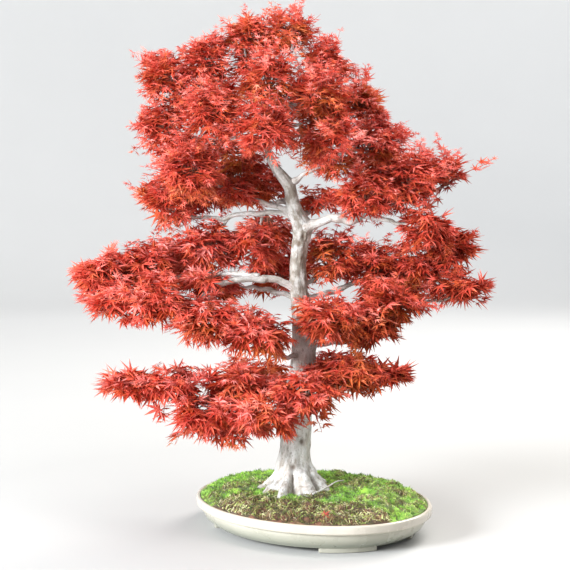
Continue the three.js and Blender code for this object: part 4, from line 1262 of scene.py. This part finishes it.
def hides_trunk(points):
    """Whether leaves stand in front of the stretch of trunk that is kept clear."""
    x, depth, height = points.T
    middle, stem = columns([(z, x, radius) for x, z, radius in TRUNK], height)
    beside = np.abs(x - middle) - stem
    return (height > CLEAR_FROM) & (height < CLEAR_TO) & (depth < 0) & (beside < CLEAR_ROOM)


def drawn_in(tips, centre, limit):
    """Tips that stick out of the tree's outline, drawn back towards a centre until they are inside."""
    for _ in range(12):
        tips = np.where((out_of_outline(tips) > limit)[:, None], tips + 0.12 * (centre - tips), tips)
    return tips


def spray_shoots(centre, wide, high, seat, count, random):
    """Forks, tips and directions of a spray's shoots, spread evenly over its outside."""
    turn = GOLDEN_TURN * np.arange(count) + 2 * math.pi * random.random()
    order = random.permutation(count)
    rise = np.radians(SHOOT_LOWEST + (SHOOT_HIGHEST - SHOOT_LOWEST) * (order + 0.5) / count)
    out = np.stack([np.cos(turn) * np.cos(rise), np.sin(turn) * np.cos(rise), np.sin(rise)], axis=-1)
    reach = 0.66 + 0.42 * random.random((count, 1)) ** 0.7
    tips = drawn_in(centre + out * reach * (wide, wide, high), centre, 0.94)
    hub = 0.5 * centre + 0.5 * seat
    return hub + 0.34 * (tips - hub) * (1, 1, 0.5), tips, unit(0.5 * out + unit(tips - hub))


def nearest_spray(x, z):
    """The spray that a long shoot grows from: the nearest one seen from the tree's front."""
    seen = [name for name in SPRAYS if "back" not in name]
    return min(seen, key=lambda name: math.dist((x, z), CENTRES[name][[0, 2]]))


def spray_sprigs(name, centre, wide, high, random):
    """A few longer shoots that stand out of the spray, away from the trunk, and upright near the top."""
    away = unit(centre * (1, 1, 0))
    top = rising(centre[2], 600, 720)
    spin = random.normal(size=(SPRIGS, 3)) * (0.6, 0.6, 0.22)
    out = unit(away * (1 - 0.75 * top) + spin + (0, 0, 0.22 + 1.1 * top))
    beyond = 1.05 + SPRIG_REACH * random.random((SPRIGS, 1))
    tips = drawn_in(centre + out * (wide, wide, max(high, 0.6 * wide)) * beyond, centre, 0.99)
    long = [(x, 0.5 * centre[1], z) for x, z in LONG_SHOOTS if nearest_spray(x, z) == name]
    tips = np.vstack([tips, np.reshape(long, (-1, 3))])
    return centre + 0.45 * (tips - centre), tips, unit(tips - centre)


def shoot_rows(shoots, seat, middle, wide, high, sprig):
    """A row for each shoot: its fork, tip and direction, then what its group shares."""
    shared = (*seat, *middle, wide, wide, high, sprig)
    return np.hstack([*shoots, np.tile(shared, (len(shoots[1]), 1))])


def all_shoots(name, seat, wood_line, random):
    """Every shoot of a spray: forks, bows, tips, directions, seats, middles and half sizes, and which are
    sprigs. Tufts on the old wood near the spray count as its own."""
    centre = CENTRES[name]
    low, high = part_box(name)
    half = np.array(high - low) / 2 / MM
    wide = (half[0] + half[1]) / 2 * SPREAD
    high = np.interp(centre[2], *zip(*TIER_RISE))
    count = round(SHOOTS * wide * (wide + 2 * high) / SHOOT_AREA * LEAF_LOW / leaf_size(name))
    rows = [shoot_rows(spray_shoots(centre, wide, high, seat, count, random), seat, centre, wide, high, 0),
            shoot_rows(spray_sprigs(name, centre, wide, high, random), seat, centre, wide, high, 1)]
    for spray, middle, wide, high in TUFTS_ON_WOOD:
        if "spray_" + spray == name:
            start = wood_line[np.argmin(np.linalg.norm(wood_line - middle, axis=1))]
            tuft = spray_shoots(np.array(middle, float), wide, high, start, TUFT_SHOOTS, random)
            rows.append(shoot_rows(tuft, start, middle, wide, high, 0))
    rows = np.vstack(rows)
    forks, tips, outs, seats, middles, halves = np.split(rows[:, :18], 6, axis=1)
    bows = forks + 0.55 * (tips - forks) + outs * (3, 3, 0) + (0, 0, 3 - 9 * crown_share(name))
    bows = bows + random.normal(size=(len(rows), 3)) * 2.5
    return forks, bows, tips, outs, seats, middles, halves, rows[:, 18]


def bowed(forks, bows, tips, share):
    """Places at a share of the way along shoots that bow on their way from fork to tip."""
    return (1 - share) ** 2 * forks + 2 * share * (1 - share) * bows + share**2 * tips


def shoot_skins(forks, bows, tips, seats):
    """The red shoots, and the twigs from their group's seat to their forks: points, faces and age."""
    count = len(tips)
    lines = bowed(forks[:, None], bows[:, None], tips[:, None], np.linspace(0, 1, 4)[None, :, None])
    twigs = np.stack([seats, 0.5 * (seats + forks) + (0, 0, -1.5), forks], axis=1)
    return [(*tubes(lines, np.tile(SHOOT_RADII, (count, 1)), 3)[:2], 0.85),
            (*tubes(twigs, np.tile(STEM_RADII, (count, 1)), 3)[:2], 0.2)]


def leaf_feet(forks, bows, tips, outs, sprig, random):
    """Where petioles leave the shoots, in pairs and at the tips: places, directions and sizes against 1."""
    feet, ways, scales = [], [], []
    for k, at in enumerate(PAIRS):
        spot = bowed(forks, bows, tips, at)
        along = unit(2 * (1 - at) * (bows - forks) + 2 * at * (tips - bows))
        beside = unit(np.cross(along, (0, 0, 1)))
        above = np.cross(beside, along)
        for sign in (-1, 1):
            petiole = along * 0.6 + sign * (beside * (1.0, 0.55)[k % 2] + above * (0.1, 0.7)[k % 2])
            feet.append(spot)
            ways.append(unit(petiole + random.normal(size=spot.shape) * 0.2))
            scales.append(1.3 - 0.78 * at - 0.15 * sprig)
    feet.append(tips)
    ways.append(unit(outs + random.normal(size=tips.shape) * 0.25))
    scales.append(0.52 - 0.02 * sprig)
    return np.concatenate(feet), np.concatenate(ways), np.concatenate(scales)


def grown_leaves(shoots, size, crown, random):
    """A spray's leaves inside the tree's outline: feet of their petioles, bases, ribs, upward faces, sizes,
    places in their group, and whether they stand on a sprig."""
    forks, bows, tips, outs, _, middles, halves, sprig = shoots
    feet, ways, scales = leaf_feet(forks, bows, tips, outs, sprig, random)
    total = len(feet)
    rows = total // len(tips)
    young = np.tile(sprig, rows)
    sizes = size * scales * (0.76 + 0.44 * random.random(total))
    bases = feet + ways * (sizes * (0.35 + 0.3 * random.random(total)))[:, None]
    place = (bases - np.tile(middles, (rows, 1))) / np.tile(halves, (rows, 1))
    radial = unit(place)
    ribs = ways * (1, 1, 0.5) + radial * (0.2, 0.2, 0.1) + random.normal(size=(total, 3)) * 0.25
    ribs[:, 2] += np.where(young, 0.3, -(0.62 - 0.45 * crown) * random.random(total))
    ribs = unit(ribs)
    face = 0.62 - 0.3 * crown
    up = unit(radial * (face, face, 0.2) + (0, 0, 1) + random.normal(size=(total, 3)) * 0.3)
    inside = np.all(np.abs(from_tree(bases + ribs * sizes[:, None]) - BOX_MIDDLE) < BOX_REACH, axis=1)
    room = (SPRIG_ROOM + TOP_ROOM * (bases[:, 2] > TOP_FROM)) * young
    inside &= out_of_outline(bases + 0.7 * ribs * sizes[:, None]) < 1.0 + room
    inside &= ~hides_trunk(bases + 0.5 * ribs * sizes[:, None])
    return [rows[inside] for rows in (feet, bases, ribs, up, sizes, place, young)]


def painted_light_and_shade(bases):
    """Painted light and shade on the leaves: how much brighter or darker they are painted by side and height,
    for the places that they grow from.
    """
    right, left = np.clip(bases[:, 0], 0, None), np.clip(-bases[:, 0], 0, None)
    return (right * np.interp(bases[:, 2], *zip(*PAINTED_LIGHT_RIGHT)) + left * PAINTED_LIGHT_LEFT) / PAINTED_LIGHT_SPAN


def leaf_looks(bases, place, depth, young, random):
    """How bright each leaf is, and how far it has turned orange, both from 0 to 1."""
    total = len(bases)
    above = unit(place)[:, 2]
    # Brightness: random, with painted light on leaves on top of a spray, painted shade on those deep inside
    # it, and paler sprig leaves.
    fate = 0.34 + 0.27 * random.normal(size=total) + 0.12 * above + 0.5 * (depth - 0.75) + 0.2 * young
    near = np.clip(1.3 - np.hypot(bases[:, 0], bases[:, 1]) / 130, 0, 0.8)
    turned = 1.5 * noise(bases * 0.022, 91) - 0.62 - 0.35 * above + near
    turned += 0.4 * np.clip(-place[:, 2], 0, 1) + 0.6 * np.clip(0.8 - depth, 0, 1)
    turned -= 0.7 * rising(bases[:, 2], 620, 710)
    turned = np.clip(turned, 0, 0.85) * random.random(total) ** 0.5
    return np.clip(fate + painted_light_and_shade(bases), 0, 1), turned


def make_spray(name, seat, wood_line, random):
    """One spray: twigs from its seat, red shoots that fork from them, petioles and paired leaves."""
    crown = crown_share(name)
    shoots = all_shoots(name, seat, wood_line, random)
    forks, bows, tips, _, seats, *_ = shoots
    stems = shoot_skins(forks, bows, tips, seats)
    feet, bases, ribs, up, sizes, place, young = grown_leaves(shoots, leaf_size(name), crown, random)
    necks = bases - ribs * (LEAF_NECK * sizes * 0.5)[:, None]
    stems.append((*spikes(feet, necks, PETIOLE_RADIUS), 1.0))

    droop = (0.38 - 0.2 * crown) * random.random(len(feet))
    twist = 0.16 * random.normal(size=len(feet))
    depth = np.clip(np.linalg.norm(place, axis=1), 0, 1.4)
    outer = depth > OUTER_FROM
    sizes = np.where(outer, sizes, INNER_SIZE * sizes)
    fate, turned = leaf_looks(bases, place, depth, young, random)
    large, small = outer & (sizes > LARGE_FROM), ~outer | (sizes < SMALL_UP_TO)
    parts, tones, kinds = [], [], []
    for template, kept in ((LARGE_LEAF, large), (MIDDLE_LEAF, ~large & ~small), (SMALL_LEAF, small)):
        places = [rows[kept] for rows in (bases, ribs, up, sizes, droop, twist)]
        points, faces, edge = blades(template, *places)
        each = len(template[0])
        parts.append((points, [faces]))
        kinds.append(np.zeros(len(faces)))
        tones.append(np.stack([np.repeat(fate[kept], each), edge, np.repeat(turned[kept], each)], axis=1))
    for points, faces, age in stems:
        faces = faces if isinstance(faces, list) else [faces]
        parts.append((points, faces))
        kinds.append(np.ones(sum(len(array) for array in faces)))
        tones.append(np.tile((age, 0, 0), (len(points), 1)))
    points, faces = gathered(parts)
    leaves = build(name.replace("spray_", "leaves_"), from_tree(points), faces, [LEAF, SHOOT],
                   slots=np.concatenate(kinds), tone=np.concatenate(tones))
    settle(leaves, "leaf", name)


# What lies loose on the moss

def make_fallen_leaf(spot, turn, size):
    """A fallen leaf, at a place in the tree frame."""
    x, y, _ = tree_in_pot((*spot, 0))
    foot = np.array([[x, y, moss_top(np.array([x]), np.array([y]))[0] + 2.2]])
    rib = unit(np.array([[math.cos(turn), math.sin(turn), -0.1]]))
    face = unit(np.array([[0.2, -0.3, 1.0]]))
    points, faces, _ = blades(LARGE_LEAF, foot, rib, face, *np.array([[size], [-0.18], [0.1]]))
    stalk, stalk_faces = spikes(foot - rib * size * 0.7 - (0, 0, 1), foot, 0.5)
    points, faces = gathered([(points, [faces]), (stalk, [stalk_faces])])
    settle(build("fallen_leaf", from_pot(points), faces, [SHOOT], tone=(0.8, 0, 0)), "leaf")


def make_fallen_twig():
    """A thin pale twig beside the roots."""
    course = tree_in_pot(FALLEN_TWIG)
    course[:, 2] += moss_top(course[:, 0], course[:, 1])
    line = smooth_line(course, FALLEN_TWIG_STEP)
    line[:, 2] = np.maximum(line[:, 2], moss_top(line[:, 0], line[:, 1]) + FALLEN_TWIG_RADII[0])
    points, faces, tone, grain = rod_skin(line, np.linspace(*FALLEN_TWIG_RADII, len(line)), TWIG_SIDES, 0.0)
    twig = build("fallen_twig", from_pot(points), faces, [BARK], smooth=True, tone=0.3 * tone, grain=grain)
    settle(twig, "bark")


# Stage

def make_floor():
    """A pale floor that curves up all round."""
    sweep = [(0.02, 0), (FLOOR_FLAT, 0)]
    sweep += arc((SWEEP_FROM, SWEEP_RADIUS), SWEEP_RADIUS, 270, 270 + SWEEP_TURN, 16)
    turns = circle(FLOOR_SEGMENTS)
    bowl = np.array([(r * math.cos(a), r * math.sin(a), z - FLOOR_SINK) for r, z in sweep for a in turns])
    middle = np.arange(FLOOR_SEGMENTS)[None, ::-1]
    faces = [wrapped_faces(len(sweep), FLOOR_SEGMENTS), middle]
    build("floor", bowl, faces, [FLOOR], smooth=True)


def make_lights():
    """A pale sky and soft round lamps."""
    world = bpy.data.worlds.new("studio")
    world.use_nodes = True
    sky = world.node_tree.nodes["Background"]
    sky.inputs["Color"].default_value = SKY
    sky.inputs["Strength"].default_value = SKY_STRENGTH
    bpy.context.scene.world = world
    target = Vector(from_tree(LIGHT_TARGET))
    for name, place, size, power, colour in LIGHTS:
        light = bpy.data.lights.new(name, "AREA")
        light.shape = "DISK"
        light.size = size
        light.energy = power
        light.color = colour
        lamp = bpy.data.objects.new(name, light)
        lamp.location = from_tree(place)
        lamp.rotation_euler = (target - lamp.location).to_track_quat("-Z", "Y").to_euler()
        bpy.context.scene.collection.objects.link(lamp)


def make_camera():
    """The camera at the photograph's place."""
    camera = bpy.data.cameras.new("camera")
    camera.sensor_width = SENSOR
    camera.lens = LENS
    camera.clip_end = 200.0
    eye = bpy.data.objects.new("camera", camera)
    eye.location = from_tree(EYE)
    eye.rotation_euler = (math.radians(90 - EYE_DOWN), 0, TREE_TURN)
    bpy.context.scene.collection.objects.link(eye)
    bpy.context.scene.camera = eye
    bpy.context.scene.view_settings.view_transform = "Standard"


def main():
    """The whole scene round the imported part."""
    make_floor()
    make_lights()
    make_camera()
    make_pot()
    make_carpet()
    make_moss_shoots()
    make_moss_strands()
    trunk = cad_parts["trunk"].data
    wood = BVHTree.FromPolygons([v.co for v in trunk.vertices], [face.vertices for face in trunk.polygons])
    seats = {name: seat_of(name, wood) for name in SPRAYS}
    limbs = limb_lines(seats)
    wood_line = np.concatenate([trunk_line()[:, :3]] + [line for line, _, _ in limbs])
    make_wood(limbs, twig_lines(limbs, seats))
    for i, name in enumerate(SPRAYS):
        make_spray(name, seats[name][0], wood_line, np.random.default_rng(SEED + 100 + i))
    make_fallen_leaf(*FALLEN_LEAF)
    make_fallen_twig()
    for node, material in (("soil", SOIL), ("drain_screen_left", SCREEN), ("drain_screen_right", SCREEN)):
        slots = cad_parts[node].data.materials
        slots.clear()
        slots.append(material)


main()
